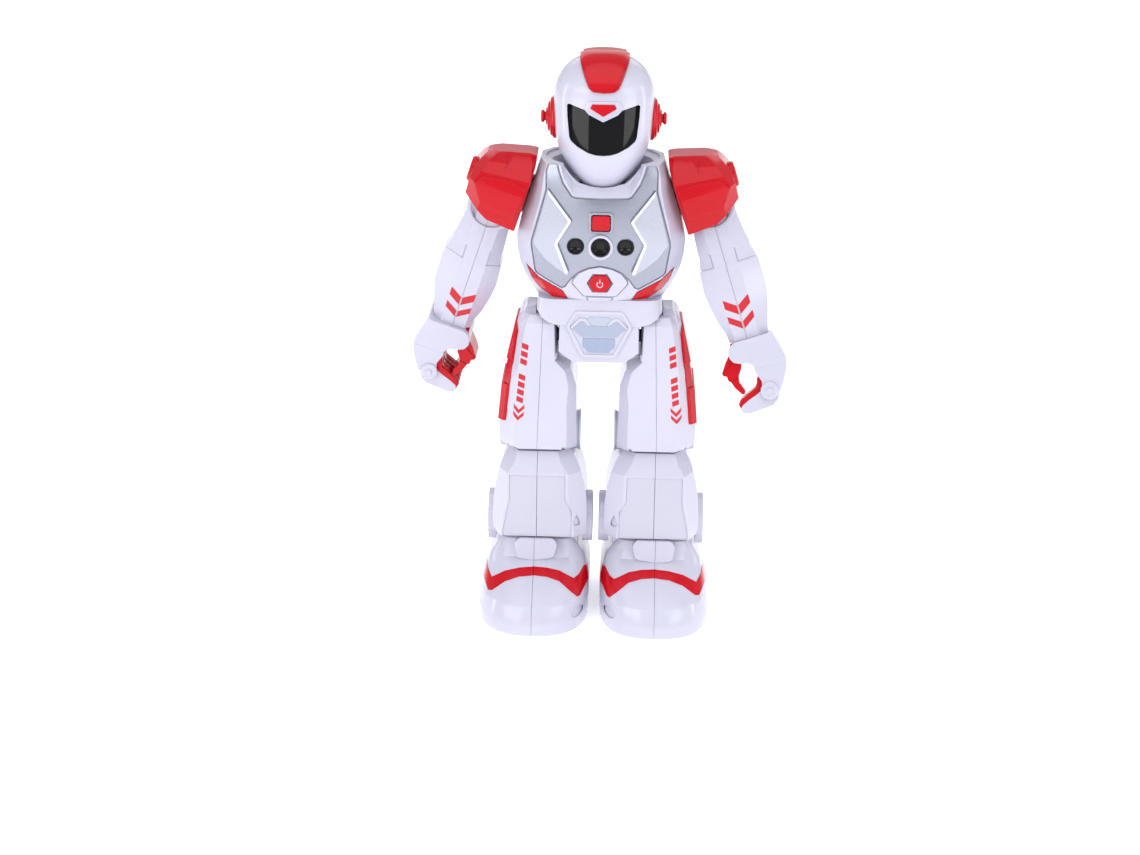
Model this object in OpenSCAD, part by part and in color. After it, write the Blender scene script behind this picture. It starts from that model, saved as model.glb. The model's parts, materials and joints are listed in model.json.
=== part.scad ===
// Walking humanoid robot, a free-standing electronic toy.
// Millimetres, +Z up, the face looks along -Y, +X is the robot's own left.
// The origin is on the floor, in the middle of the bounding box.

/* [Whole robot] */
// How far the body's middle plane stands behind the middle of the feet
mid_y = 4; // [0:0.5:6]
// Wall thickness of the plastic shells
wall = 2; // [1.6:0.1:2.4]
// Clearance between pieces that move past each other
gap = 0.5; // [0.4:0.05:0.7]

/* [Torso] */
// Height of the flat front of the chest in front of the middle plane
chest_front = 26; // [25:0.5:27]
// Thickness of the silver chest plate
plate_t = 3; // [2.5:0.25:3.5]
// Radius of the round well that the jaw turns in
collar_r = 23.9; // [23.4:0.1:24]
// Height of the floor of that well
collar_floor = 203; // [202:0.5:204]
// Travel of the two push buttons
button_travel = 1; // [0.5:0.1:1]

/* [Head] */
// Radius of the neck post
neck_r = 8; // [7:0.5:9]
// Height of the ear pods above the floor
ear_z = 234.2; // [232:0.2:236]
// Radius of the ear discs
ear_r = 9.5; // [8.5:0.5:9.5]

/* [Arms] */
// Sideways slope of the shoulder axis and of the hanging arms, in degrees
arm_tilt = 18; // [18:1:18]
// Forward swing of the left arm as it stands, in degrees
left_swing = 13; // [-15:0.5:15]
// Forward swing of the right arm as it stands, in degrees
right_swing = -8.5; // [-15:0.5:15]
// Radius of the shoulder axle
axle_r = 5; // [4:0.5:5.5]
// Width of one finger
finger_w = 4.3; // [3.5:0.1:4.4]

/* [Legs] */
// Height of the hip axis
hip_z = 133; // [132:0.5:134]
// Height of the knee axis
knee_z = 87; // [86:0.5:88]
// Height of the ankle axis
ankle_z = 44.5; // [44:0.5:45]
// Sideways place of the seam down the middle of each leg
leg_seam = 27; // [26:0.5:28]
// Radius of the sole wheels
wheel_r = 4; // [3.5:0.25:4.25]

/* [Hidden] */

LEFT = 1;
RIGHT = -1;
FAR = 200;
HOLE_FN = 48;

white = "white";
red = "crimson";
silver = "silver";
black = "black";

plate_y = -chest_front - plate_t;
shoulder = [46, 0, 202.8];
back_y = 22;

// ---------------------------------------------------------------- shared shapes

// Ring of eight points round a rectangle whose corners are cut off.
// row = [z, x0, x1, y0, y1, front cut along x, front cut along y, back cut]
function ring(row) = let (
    z = row[0], x0 = row[1], x1 = row[2], y0 = row[3], y1 = row[4],
    fx = row[5], fy = row[6], b = row[7]
) [
    [x0 + fx, y0, z], [x1 - fx, y0, z], [x1, y0 + fy, z], [x1, y1 - b, z],
    [x1 - b, y1, z], [x0 + b, y1, z], [x0, y1 - b, z], [x0, y0 + fy, z]
];

// Symmetric row: [z, half width, front y, back y, corner cut]
function even(r) = [r[0], -r[1], r[1], r[2], r[3], r[4], r[4], r[4]];

// Row with one corner cut for all four corners: [z, x0, x1, y0, y1, cut]
function plain(r) = [r[0], r[1], r[2], r[3], r[4], r[5], r[5], r[5]];

// The same rows, moved inwards by t
function inset(rows, t) = [for (r = rows) [
    r[0], r[1] + t, r[2] - t, r[3] + t, r[4] - t,
    r[5] - 0.4 * t, r[6] - 0.4 * t, r[7] - 0.4 * t
]];

// The rows with the first and last one moved up or down
function stretch(rows, low, high) = [for (i = [0:len(rows) - 1])
    let (r = rows[i], dz = i == 0 ? low : i == len(rows) - 1 ? high : 0)
    [r[0] + dz, r[1], r[2], r[3], r[4], r[5], r[6], r[7]]
];

// Closed faceted solid through a stack of rows, lowest first
module skin(rows) {
    rings = [for (r = rows) ring(r)];
    n = len(rings[0]);
    m = len(rings);
    walls = [for (i = [0:m - 2], j = [0:n - 1], half = [0, 1])
        let (a = i * n + j, b = i * n + (j + 1) % n)
        half == 0 ? [a, a + n, b + n] : [a, b + n, b]
    ];
    floor_face = [for (j = [0:n - 1]) j];
    roof_face = [for (j = [n - 1:-1:0]) (m - 1) * n + j];
    polyhedron([for (r = rings, p = r) p], concat([floor_face], walls, [roof_face]));
}

// Hollow shell: low and high say how far the cavity stops short of each end
module shell(rows, low, high) {
    difference() {
        skin(rows);
        skin(stretch(inset(rows, wall), low, high));
    }
}

// Outline in X and Z, pushed from y0 to y1
module front_prism(points, y0, y1) {
    translate([0, y1, 0])
        rotate([90, 0, 0])
            linear_extrude(y1 - y0)
                polygon(points);
}

// Outline in Y and Z, pushed from x0 to x1
module side_prism(points, x0, x1) {
    translate([x0, 0, 0])
        rotate([90, 0, 90])
            linear_extrude(x1 - x0)
                polygon(points);
}

// A list of points on the +X side, closed by its mirror image
function both_sides(points) = concat(
    points,
    [for (i = [len(points) - 1:-1:0]) if (points[i][0] != 0) [-points[i][0], points[i][1]]]
);

// Cylinder along X
module rod_x(x0, x1, r, y = 0, z = 0) {
    translate([x0, y, z])
        rotate([0, 90, 0])
            cylinder(h = x1 - x0, r = r, $fn = HOLE_FN);
}

// Cylinder along Y
module rod_y(y0, y1, r, x = 0, z = 0) {
    translate([x, y1, z])
        rotate([90, 0, 0])
            cylinder(h = y1 - y0, r = r, $fn = HOLE_FN);
}

module box(low, high) {
    translate(low)
        cube(high - low);
}

// Everything on one side of the plane x = at, or y = at
module beyond_x(at) {
    box([at, -FAR, -FAR], [FAR, FAR, 2 * FAR]);
}

module short_of_x(at) {
    box([-FAR, -FAR, -FAR], [at, FAR, 2 * FAR]);
}

module behind_y(at) {
    box([-FAR, at, -FAR], [FAR, FAR, 2 * FAR]);
}

module ahead_y(at) {
    box([-FAR, -FAR, -FAR], [FAR, at, 2 * FAR]);
}

// Frames: the trunk, a side of it, an arm that hangs from its shoulder
module trunk() {
    translate([0, mid_y, 0])
        children();
}

module sided(side) {
    trunk()
        if (side == LEFT) children();
        else mirror([1, 0, 0]) children();
}

module shoulder_frame(side) {
    sided(side)
        translate(shoulder)
            rotate([0, -arm_tilt, 0])
                children();
}

module arm_frame(side) {
    swing = side == LEFT ? left_swing : right_swing;
    shoulder_frame(side)
        rotate([-swing, 0, 0])
            children();
}

// ---------------------------------------------------------------- torso

torso_rows = [for (r = [
    [153.5, 27.2, -20, 17, 5],
    [159.6, 31.3, -24, 19, 6],
    [164.4, 33.8, -chest_front, 21, 7],
    [175.6, 37.2, -chest_front, back_y, 8],
    [182.5, 37.8, -chest_front, back_y, 8],
    [208.4, 30.2, -chest_front, back_y, 6],
    [217, 27.3, -chest_front, 20, 5]
]) even(r)];
torso_seam = -2;
hub_r = 9;
hub_z = 198.5;
hub_recess = 9.8;
neck_hole_r = neck_r + gap;
cover_x = 20;
cover_low = 163;
cover_high = 198;
socket_z = 160;
socket_r = 3.6;

// The U-shaped notch in the front of the chest that shows the jaw
collar_notch = both_sides([[0, 202.5], [12.3, 203.2], [16.5, 209], [19.2, 217], [20.5, 224]]);

module torso_solid() {
    difference() {
        shell(torso_rows, wall, -wall);
        translate([0, 0, collar_floor])
            cylinder(h = 30, r = collar_r, $fn = 96);
        front_prism(collar_notch, -40, 0);
    }
}

// The wall under the jaw well, and the sleeve that the neck post turns in
module collar_cup() {
    difference() {
        intersection() {
            translate([0, 0, collar_floor - wall])
                cylinder(h = 217 - collar_floor + wall, r = collar_r + wall, $fn = 96);
            skin(torso_rows);
        }
        translate([0, 0, collar_floor])
            cylinder(h = 30, r = collar_r, $fn = 96);
        front_prism(collar_notch, -40, 0);
        translate([0, 0, collar_floor - 10])
            cylinder(h = 20, r = neck_hole_r, $fn = HOLE_FN);
    }
}

// Round recess and bore in each flank for the shoulder hub
module hub_recesses() {
    for (side = [LEFT, RIGHT])
        mirror([side == LEFT ? 0 : 1, 0, 0])
            translate(shoulder)
                rotate([0, -arm_tilt, 0]) {
                    rod_x(-14.8, 0, hub_recess);
                    rod_x(-30, 0, axle_r + gap);
                }
}

module torso_whole() {
    difference() {
        union() {
            torso_solid();
            collar_cup();
        }
        hub_recesses();
    }
}

module torso_front_shell() {
    color(white) trunk() difference() {
        intersection() {
            torso_whole();
            ahead_y(torso_seam);
        }
        rod_y(-40, -20, 2, 0, 192.3);
        rod_y(-40, -20, 2, 0, 164.4);
    }
}

module torso_back_shell() {
    color(white) trunk() difference() {
        intersection() {
            torso_whole();
            behind_y(torso_seam);
        }
        box([-cover_x + 3, 10, cover_low + 3], [cover_x - 3, 40, cover_high - 3]);
        rod_y(10, 40, socket_r + 0.1, 0, socket_z);
    }
}

// Outline of the silver plate, from the notch down the right-hand edge to the belly arc
plate_outline = both_sides([
    [0, 202.5], [12.3, 203.2], [16.5, 209], [19.2, 217], [21.9, 220.4], [24.3, 214.1],
    [24.2, 205.4], [30.6, 181.3], [28.7, 168.3], [16.7, 161.4], [13.5, 166], [9.9, 169.5],
    [5.4, 171.6], [0, 172.9]
]);
// Centre line of each zigzag ridge on the plate
ridge_line = [[23.2, 205.7], [13.3, 192.8], [19.2, 182.3], [13.9, 169.6]];
ridge_w = 1.6;
square_hole = [8.6, 7.4];
square_z = 192.3;
bezel = [11, 9.4];
lens_x = 11.1;
lens_z = 181.4;
lens_r = 3.7;
centre_lens_r = 4.1;
lens_ring_r = 5.5;

// A flat bar between two points of an outline
module ridge_bar(a, b) {
    run = b - a;
    translate([a[0], plate_y, a[1]])
        rotate([0, -atan2(run[1], run[0]), 0])
            translate([0, -1.2, -ridge_w / 2])
                cube([norm(run), 1.5, ridge_w]);
}

module chest_plate() {
    color(silver) trunk() difference() {
        union() {
            front_prism(plate_outline, plate_y, -chest_front);
            for (flip = [0, 1], i = [0:len(ridge_line) - 2])
                mirror([flip, 0, 0]) ridge_bar(ridge_line[i], ridge_line[i + 1]);
            box([-bezel[0] / 2, plate_y - 1, square_z - bezel[1] / 2],
                [bezel[0] / 2, -chest_front, square_z + bezel[1] / 2]);
        }
        box([-square_hole[0] / 2, -40, square_z - square_hole[1] / 2],
            [square_hole[0] / 2, 0, square_z + square_hole[1] / 2]);
        for (x = [-lens_x, lens_x])
            rod_y(-40, 0, lens_r, x, lens_z);
        rod_y(-40, 0, lens_ring_r, 0, lens_z);
    }
}

module square_button() {
    half_w = square_hole[0] / 2 - 0.3;
    half_h = square_hole[1] / 2 - 0.3;
    color(red) trunk() box(
        [-half_w, plate_y - 1.8, square_z - half_h],
        [half_w, -chest_front - 1.2, square_z + half_h]
    );
}

module chest_lenses() {
    color(black) trunk() {
        for (x = [-lens_x, lens_x])
            rod_y(plate_y - 2.2, -chest_front, lens_r, x, lens_z);
        rod_y(plate_y - 2.4, -chest_front, centre_lens_r, 0, lens_z);
    }
}

module lens_ring() {
    color(white) trunk() difference() {
        rod_y(plate_y - 2, -chest_front, lens_ring_r, 0, lens_z);
        rod_y(-40, 0, centre_lens_r, 0, lens_z);
    }
}

// Belly panel: an arched top under the plate and a narrow tab at the bottom
belly_outline = both_sides([
    [0, 172.4], [5.2, 171.1], [9.6, 169], [12.2, 165.6], [12, 163.6], [7.2, 158], [6.2, 157.4]
]);
power_z = 164.4;
power_half = [5.3, 3.9];
hex_button = [
    [-power_half[0], power_z], [-2.9, power_z + power_half[1]], [2.9, power_z + power_half[1]],
    [power_half[0], power_z], [2.9, power_z - power_half[1]], [-2.9, power_z - power_half[1]]
];

function grow(points, centre, scale_by) = [for (p = points) centre + (p - centre) * scale_by];

module belly_panel() {
    color(white) trunk() difference() {
        front_prism(belly_outline, plate_y - 1, -20);
        skin(torso_rows);
        front_prism(grow(hex_button, [0, power_z], 1.08), -40, 0);
    }
}

module power_button() {
    color(red) trunk()
        front_prism(hex_button, plate_y - 2, -chest_front - 1.2);
}

module waist_accents() {
    points = [[32.6, 169], [28.4, 166.6], [16.9, 160.2], [14.7, 156], [21.4, 156.4], [27.1, 159.8]];
    color(red) trunk() difference() {
        for (flip = [0, 1])
            mirror([flip, 0, 0]) front_prism(points, -chest_front - 1.6, -16);
        skin(torso_rows);
        front_prism(plate_outline, plate_y, -chest_front);
    }
}

module battery_cover() {
    color(white) trunk() difference() {
        union() {
            box([-cover_x, back_y, cover_low], [cover_x, back_y + 2, cover_high]);
            box([-cover_x + 3.3, back_y - 3, cover_low + 3.3],
                [cover_x - 3.3, back_y, cover_high - 3.3]);
        }
        box([-cover_x + 5, back_y - 4, cover_low + 5], [cover_x - 5, back_y, cover_high - 5]);
        rod_y(0, 40, 1.3, 0, cover_low + 2);
    }
}

module battery_pack() {
    color("royalblue") trunk()
        for (z = [174, 187])
            rod_x(-16, 16, 6.2, 11, z);
}

module main_board() {
    color("green") trunk() {
        box([-20, -20.5, 164], [20, -18.9, 198]);
        box([-8, -18.9, 176], [8, -16.8, 190]);
    }
}

module speaker() {
    color("dimgray") trunk() difference() {
        union() {
            rod_y(-14, -10, 13, 0, 179);
            rod_y(-10, -4, 8, 0, 179);
        }
        rod_y(-15, -13, 11.5, 0, 179);
    }
}

// Barrel socket for the charging lead, open at the back
module charge_socket() {
    color("dimgray") trunk() difference() {
        rod_y(10.4, 19.2, socket_r, 0, socket_z);
        rod_y(12, 30, 1.75, 0, socket_z);
    }
}

screw_spots = [[-21.5, 205], [21.5, 205], [-25.5, 178], [25.5, 178], [0, cover_low + 2]];

module body_screws() {
    color("gray") trunk()
        for (i = [0:len(screw_spots) - 1])
            let (y = i == 4 ? back_y + 2 : back_y)
            translate([screw_spots[i][0], y, screw_spots[i][1]])
                rotate([-90, 0, 0])
                    difference() {
                        cylinder(h = 1.2, r = 1.9, $fn = 24);
                        for (turn = [0, 90])
                            rotate(turn) translate([-1.2, -0.3, 0.6]) cube([2.4, 0.6, 1]);
                    }
}

// ---------------------------------------------------------------- pelvis

pelvis_rows = [for (r = [
    [124.8, 12.5, -15, 13, 4],
    [127, 18.3, -20, 17, 4],
    [146, 18.3, -20, 17, 4]
]) even(r)];
band_half = [28.2, 8];
band_low = 146;
band_high = 153.5;
skirt_low = 145;
gearbox_half = [13, 9];

module pelvis_whole() {
    difference() {
        shell(pelvis_rows, wall, -wall);
        rod_x(-40, 40, 4, 0, hip_z);
    }
    box([-band_half[0], -band_half[1], band_low], [band_half[0], band_half[1], band_high]);
    // skirt in front of and behind the tops of the thighs
    for (flip = [0, 1])
        mirror([flip, 0, 0]) {
            box([15.2, -22.5, skirt_low], [band_half[0], -20, band_high]);
            box([15.2, 17, skirt_low], [band_half[0], 19.5, band_high]);
        }
}

module pelvis_front_shell() {
    color(white) trunk() intersection() {
        pelvis_whole();
        ahead_y(0);
    }
}

module pelvis_back_shell() {
    color(white) trunk() intersection() {
        pelvis_whole();
        behind_y(0);
    }
}

module pelvis_emblem() {
    outline = both_sides([[10.6, 150.3], [14.7, 143.2], [7.2, 128.7]]);
    color("lightgray") trunk()
        front_prism(outline, -24, -20);
}

// Motor and gears in one box, with an output shaft to each hip
module leg_gearbox() {
    color("dimgray") trunk() {
        box([-gearbox_half[0], -gearbox_half[1], 128.5], [gearbox_half[0], gearbox_half[1], 142]);
        for (flip = [0, 1])
            mirror([flip, 0, 0]) {
                rod_x(gearbox_half[0], 27.5, 3, 0, hip_z);
            }
    }
}

// ---------------------------------------------------------------- head

head_rows = [for (r = [
    [206, 4, -20, -4, 2],
    [212, 13.2, -21, 8, 5],
    [218.8, 18.1, -21.5, 17, 7],
    [224.8, 21.2, -22, 20, 8],
    [234, 22, -22, 22, 9],
    [247.6, 22.3, -22, 22, 9],
    [252, 21.1, -20, 21, 8],
    [257, 17.8, -17, 18, 7],
    [260.6, 12.6, -12, 13, 5],
    [262.3, 6, -6, 7, 3]
]) even(r)];
head_seam = 1;
visor_back = -18.5;
visor_outline = both_sides([
    [0, 236.3], [6, 238.4], [8, 241.3], [16, 243.5], [14.5, 228], [11.3, 225], [6, 222.3], [0, 221.3]
]);

module head_whole() {
    difference() {
        shell(head_rows, wall, -wall);
        translate([0, 0, 200])
            cylinder(h = 14, r = neck_r, $fn = HOLE_FN);
    }
}

module helmet_front() {
    brow = both_sides([[0, 238.6], [6.8, 242.2], [8.6, 246.4], [7.5, 249], [0, 247.4]]);
    color(white) trunk() difference() {
        union() {
            intersection() {
                head_whole();
                ahead_y(head_seam);
            }
            front_prism(brow, -24, -21);
            intersection() {
                front_prism(grow(visor_outline, [0, 232.5], 1.12), visor_back - 1.5, -16);
                skin(inset(head_rows, 0.5));
            }
        }
        front_prism(visor_outline, -40, visor_back);
        translate([0, 0, 200])
            cylinder(h = 14, r = neck_r, $fn = HOLE_FN);
    }
}

module helmet_back() {
    color(white) trunk() intersection() {
        head_whole();
        behind_y(head_seam);
    }
}

module visor() {
    color(black) trunk() difference() {
        front_prism(visor_outline, -21.4, visor_back);
        front_prism(both_sides([[0, 238.6], [6.8, 242.2], [8.6, 246.4], [0, 246]]), -24, -21);
    }
}

// Raised strip over the top of the helmet
module crest() {
    profile = [
        [-23, 249], [-21.6, 253.5], [-18, 259.2], [-12.8, 263], [-6, 265], [7, 265], [13.8, 263],
        [19, 259.2], [22.6, 253.5], [23.6, 246], [12, 240], [-12, 240]
    ];
    color(red) trunk() difference() {
        intersection() {
            side_prism(profile, -11, 11);
            front_prism(both_sides([[0, 248.6], [6.5, 250], [8.9, 255], [11, 261], [6, 265.1]]), -30, 30);
        }
        skin(head_rows);
    }
}

module brow_gem() {
    outline = both_sides([[0, 238.9], [5.6, 242.3], [4.8, 244]]);
    color(red) trunk()
        front_prism(outline, -26, -24);
}

module ear_pods() {
    color(red) trunk()
        for (flip = [0, 1])
            mirror([flip, 0, 0]) {
                rod_x(22.4, 25, ear_r, 0, ear_z);
                rod_x(25, 28.2, 2.6, 0, ear_z);
            }
}

// Post that the head turns on, with a collar inside the torso
module neck_post() {
    color(white) trunk() {
        translate([0, 0, 196])
            cylinder(h = 17.5, r = neck_r, $fn = HOLE_FN);
        translate([0, 0, 194])
            cylinder(h = 2, r = neck_r + 4, $fn = HOLE_FN);
    }
}

// ---------------------------------------------------------------- arms
// In an arm's own frame x points outwards along the shoulder axis and z up the arm.

pad_rows = [for (r = [
    [-17, -12.2, 13.2, -19, 19, 5],
    [-6, -12.2, 13.8, -22, 22, 7],
    [11.4, -12.2, 14, -21.5, 21.5, 7],
    [21, -8.5, 10, -11, 11, 4]
]) plain(r)];
arm_rows = [for (r = [
    [-70.3, -7.8, 9.8, -8.5, 8.5, 4],
    [-66, -8.3, 10.8, -9, 9, 4],
    [-58.5, -10.8, 13, -10, 10, 5],
    [-50, -12.6, 14.9, -11, 11, 5.5],
    [-35.5, -12.4, 14.9, -11, 11, 5.5],
    [-31, -10.9, 13.2, -9.6, 9.6, 4.5],
    [-17, -9.4, 11, -9, 9, 4.5]
]) plain(r)];
arm_seam = 0;
arm_head_r = 12;
wrist_x = 1;
wrist_hole_r = 4;
knuckle = [3.5, -95.5];
palm_half = 9.6;
cheek_t = 2.4;

// The rim of the pad rises from the torso side to the outer side
pad_rim = [[-20, -17], [-12.4, -16.6], [1.5, -15.2], [13.6, -7.4], [20, -4], [20, -40], [-20, -40]];

module shoulder_pad(side) {
    color(red) shoulder_frame(side) difference() {
        shell(pad_rows, -2, -wall);
        front_prism(pad_rim, -40, 40);
        rod_x(-20, 20, axle_r);
    }
}

// Red hub: a disc against the torso, the axle through the arm and the cap outside the pad
module shoulder_hub(side) {
    color(red) shoulder_frame(side) {
        rod_x(-14.4, -12.2, hub_r);
        rod_x(-19, -14.4, axle_r);
        rod_x(-12.2, 14.2, axle_r);
        rod_x(14.2, 15.8, 7.5);
    }
}

module arm_whole() {
    difference() {
        union() {
            shell(arm_rows, wall, 2);
            rod_x(-9.4, 11, arm_head_r);
            intersection() {
                rod_x(-9.4, 11, 20);
                box([-9.4, -6.4, -20], [11, 6.4, 0]);
            }
        }
        rod_x(-20, 20, axle_r + gap);
        translate([wrist_x, 0, -80])
            cylinder(h = 14, r = wrist_hole_r + gap, $fn = HOLE_FN);
    }
}

module arm_outer(side) {
    color(white) arm_frame(side) intersection() {
        arm_whole();
        beyond_x(arm_seam);
    }
}

module arm_inner(side) {
    color(white) arm_frame(side) intersection() {
        arm_whole();
        short_of_x(arm_seam);
    }
}

palm_outline = [
    [-5, -71], [9.2, -71], [12.6, -75], [14.6, -83], [12.6, -89.5], [9.6, -94], [7.8, -91.2],
    [1.4, -91], [0.2, -85], [-1.2, -80.6], [-6.4, -79.8], [-9.2, -73.6]
];

// Hand: palm with a wrist peg, and a cheek on each side that carries the knuckle pin
module hand_shell(side) {
    color(white) arm_frame(side) difference() {
        union() {
            front_prism(palm_outline, -palm_half, palm_half);
            translate([wrist_x, 0, -71])
                cylinder(h = 6, r = wrist_hole_r, $fn = HOLE_FN);
            for (y = [-palm_half - cheek_t, palm_half]) {
                rod_y(y, y + cheek_t, 3.8, knuckle[0], knuckle[1]);
                front_prism([[1, -91], [0.6, -94], [7, -97], [9.6, -94], [12, -84], [2, -84]],
                            y, y + cheek_t);
            }
        }
        rod_y(-20, 20, 1.6 + 0.1, knuckle[0], knuckle[1]);
    }
}

thumb_outline = [
    [-9.4, -74.6], [-12.4, -77], [-15, -82], [-14.4, -87], [-11.6, -92.2], [-8.4, -92.6],
    [-8.2, -88], [-9.6, -84.6], [-6.6, -80.2], [-9.2, -79]
];

module thumb(side) {
    color(red) arm_frame(side) difference() {
        front_prism(thumb_outline, -6, 4);
        front_prism(palm_outline, -palm_half, palm_half);
    }
}

finger_outline = [
    [3.5, -92.4], [-2, -94.2], [-7, -95], [-10.8, -96.4], [-11.6, -98.4], [-9, -100.2],
    [4.5, -100.4], [6.8, -98], [7, -95]
];
finger_pitch = finger_w + 0.35;

module fingers(side) {
    color(red) arm_frame(side) {
        difference() {
            for (i = [-1.5:1:1.5])
                translate([0, i * finger_pitch, 0])
                    front_prism(finger_outline, -finger_w / 2, finger_w / 2);
            rod_y(-20, 20, 1.6, knuckle[0], knuckle[1]);
        }
        rod_y(-palm_half - cheek_t, palm_half + cheek_t, 1.6, knuckle[0], knuckle[1]);
    }
}

module finger_cover(side) {
    outline = [[4.5, -100.4], [-9, -100.2], [-8, -102.6], [3.6, -102.6]];
    color(white) arm_frame(side)
        front_prism(outline, -palm_half + 0.3, palm_half - 0.3);
}

// ---------------------------------------------------------------- legs

thigh_rows = [for (r = [
    [83.5, 9.5, 43.4, -20, 19, 6],
    [94, 9.6, 45, -21, 20, 7],
    [113, 9.9, 43, -21.5, 20, 7],
    [119.8, 12.4, 41.8, -21.5, 20, 6],
    [124.2, 18.9, 40.9, -21, 19.6, 5],
    [143, 19.2, 37.2, -20, 18, 5]
]) plain(r)];
hip_cap_rows = [for (r = [
    [143, 28.8, 37.2, -20, 18, 2],
    [151.3, 29.2, 34, -13, 12, 2]
]) plain(r)];
shin_rows = [for (r = [
    [40.5, 1.7, 50.6, -20, 18, 7],
    [53.5, 2.6, 49.6, -21, 19, 7],
    [58, 4.1, 47.6, -21.5, 19, 7],
    [72, 6.8, 45, -22, 19, 7],
    [77, 9, 42.8, -21, 18, 6]
]) plain(r)];
boot_rows = [
    [0, 3, 53.6, -44, 36, 14, 24, 8],
    [6, 2.5, 54.2, -44, 36, 14, 22, 8],
    [13.5, 2.5, 52.8, -41, 35, 14, 20, 7],
    [22, 3.4, 51, -26, 33, 12, 10, 7],
    [28.5, 5.2, 49, -15.5, 29, 8, 8, 6],
    [32, 7, 46.5, -14.5, 24, 6, 6, 5],
    [36, 15, 38, -13, 15, 3, 3, 3]
];
boot_seam = 28.3;
knee_pin_r = 3;
ankle_pin_r = 3;
neck_x = [13, 40];
ankle_x = [8, 46];

module thigh_whole() {
    difference() {
        union() {
            shell(thigh_rows, -2, -wall);
            skin(hip_cap_rows);
            rod_x(7.6, 9.8, 8, 0, knee_z);
            rod_x(9.6, 12.4, 6.5, 0, knee_z);
            rod_x(40.6, 43.6, 6.5, 0, knee_z);
            rod_x(19.3, 24.5, 7, 0, hip_z);
        }
        rod_x(0, 27.6, 3 + 0.2, 0, hip_z);
        rod_x(9, 60, knee_pin_r + 0.25, 0, knee_z);
    }
}

module thigh_outer(side) {
    color(white) sided(side) difference() {
        intersection() {
            thigh_whole();
            beyond_x(leg_seam);
        }
        strip_solid();
    }
}

module thigh_inner(side) {
    color(white) sided(side) intersection() {
        thigh_whole();
        short_of_x(leg_seam);
    }
}

// Red strip let into the outer face of the thigh
module strip_solid() {
    outline = [[-5, 96], [5, 96], [8, 118], [7, 143], [0, 147], [-7, 143], [-8, 118]];
    difference() {
        side_prism(outline, 30, 60);
        skin(inset(thigh_rows, 1));
        skin(inset(hip_cap_rows, 1));
    }
}

module thigh_strip(side) {
    grown = [for (r = thigh_rows) [r[0], r[1], r[2] + 1.4, r[3], r[4], r[5], r[6], r[7]]];
    color(red) sided(side) intersection() {
        strip_solid();
        skin(grown);
    }
}

module shin_whole() {
    difference() {
        union() {
            shell(shin_rows, -2, -wall);
            // neck that rises into the thigh and turns on the knee pin
            box([neck_x[0], -12, 76], [neck_x[1], 12, knee_z]);
            rod_x(neck_x[0], neck_x[1], 12, 0, knee_z);
            rod_x(10, neck_x[0], knee_pin_r, 0, knee_z);
            rod_x(neck_x[1], 43, knee_pin_r, 0, knee_z);
            // plates that straddle the boot, with the ankle pins
            rod_x(1.4, 4.6, 12, 0, ankle_z);
            rod_x(47.4, 50.6, 12, 0, ankle_z);
            rod_x(4.6, 14, ankle_pin_r, 0, ankle_z);
            rod_x(40, 47.4, ankle_pin_r, 0, ankle_z);
        }
        rod_x(neck_x[0] + 3, neck_x[1] - 3, 9, 0, knee_z);
    }
}

module shin_outer(side) {
    color(white) sided(side) intersection() {
        shin_whole();
        beyond_x(leg_seam);
    }
}

module shin_inner(side) {
    color(white) sided(side) intersection() {
        shin_whole();
        short_of_x(leg_seam);
    }
}

wheel_y = 14;
wheel_x = [13, 43];
wheel_half = 3.5;
wheel_z = wheel_r + 0.3;

module boot_whole() {
    difference() {
        union() {
            shell(boot_rows, wall, -wall);
            // ankle block inside the shin
            box([ankle_x[0], -9, 30], [ankle_x[1], 9, ankle_z]);
            rod_x(ankle_x[0], ankle_x[1], 9, 0, ankle_z);
            for (x = [19, 34])
                box([x, wheel_y - 3, 1], [x + 3, wheel_y + 3, wheel_z + 3]);
        }
        box([ankle_x[0] + 3, -6, 26], [ankle_x[1] - 3, 6, ankle_z + 4]);
        rod_x(0, 60, ankle_pin_r + 0.25, 0, ankle_z);
        strip_pocket();
        rod_x(15, 41, 1.3, wheel_y, wheel_z);
        for (x = wheel_x)
            box([x - wheel_half - 1, wheel_y - 5, -1], [x + wheel_half + 1, wheel_y + 5, 10]);
    }
}

module strip_pocket() {
    outline = [[-26, 19], [-21, 29], [12, 33], [18, 27], [4, 21]];
    difference() {
        side_prism(outline, 0, 60);
        skin(inset(boot_rows, 1));
    }
}

module boot_outer(side) {
    color(white) sided(side) intersection() {
        boot_whole();
        beyond_x(boot_seam);
    }
}

module boot_inner(side) {
    color(white) sided(side) intersection() {
        boot_whole();
        short_of_x(boot_seam);
    }
}

module boot_stripe(side) {
    color(red) sided(side) intersection() {
        strip_pocket();
        skin(boot_rows);
    }
}

module wheels(side) {
    color("dimgray") sided(side) {
        for (x = wheel_x)
            rod_x(x - wheel_half, x + wheel_half, wheel_r, wheel_y, wheel_z);
        rod_x(wheel_x[0], wheel_x[1], 1.2, wheel_y, wheel_z);
    }
}

// ---------------------------------------------------------------- nodes

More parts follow.
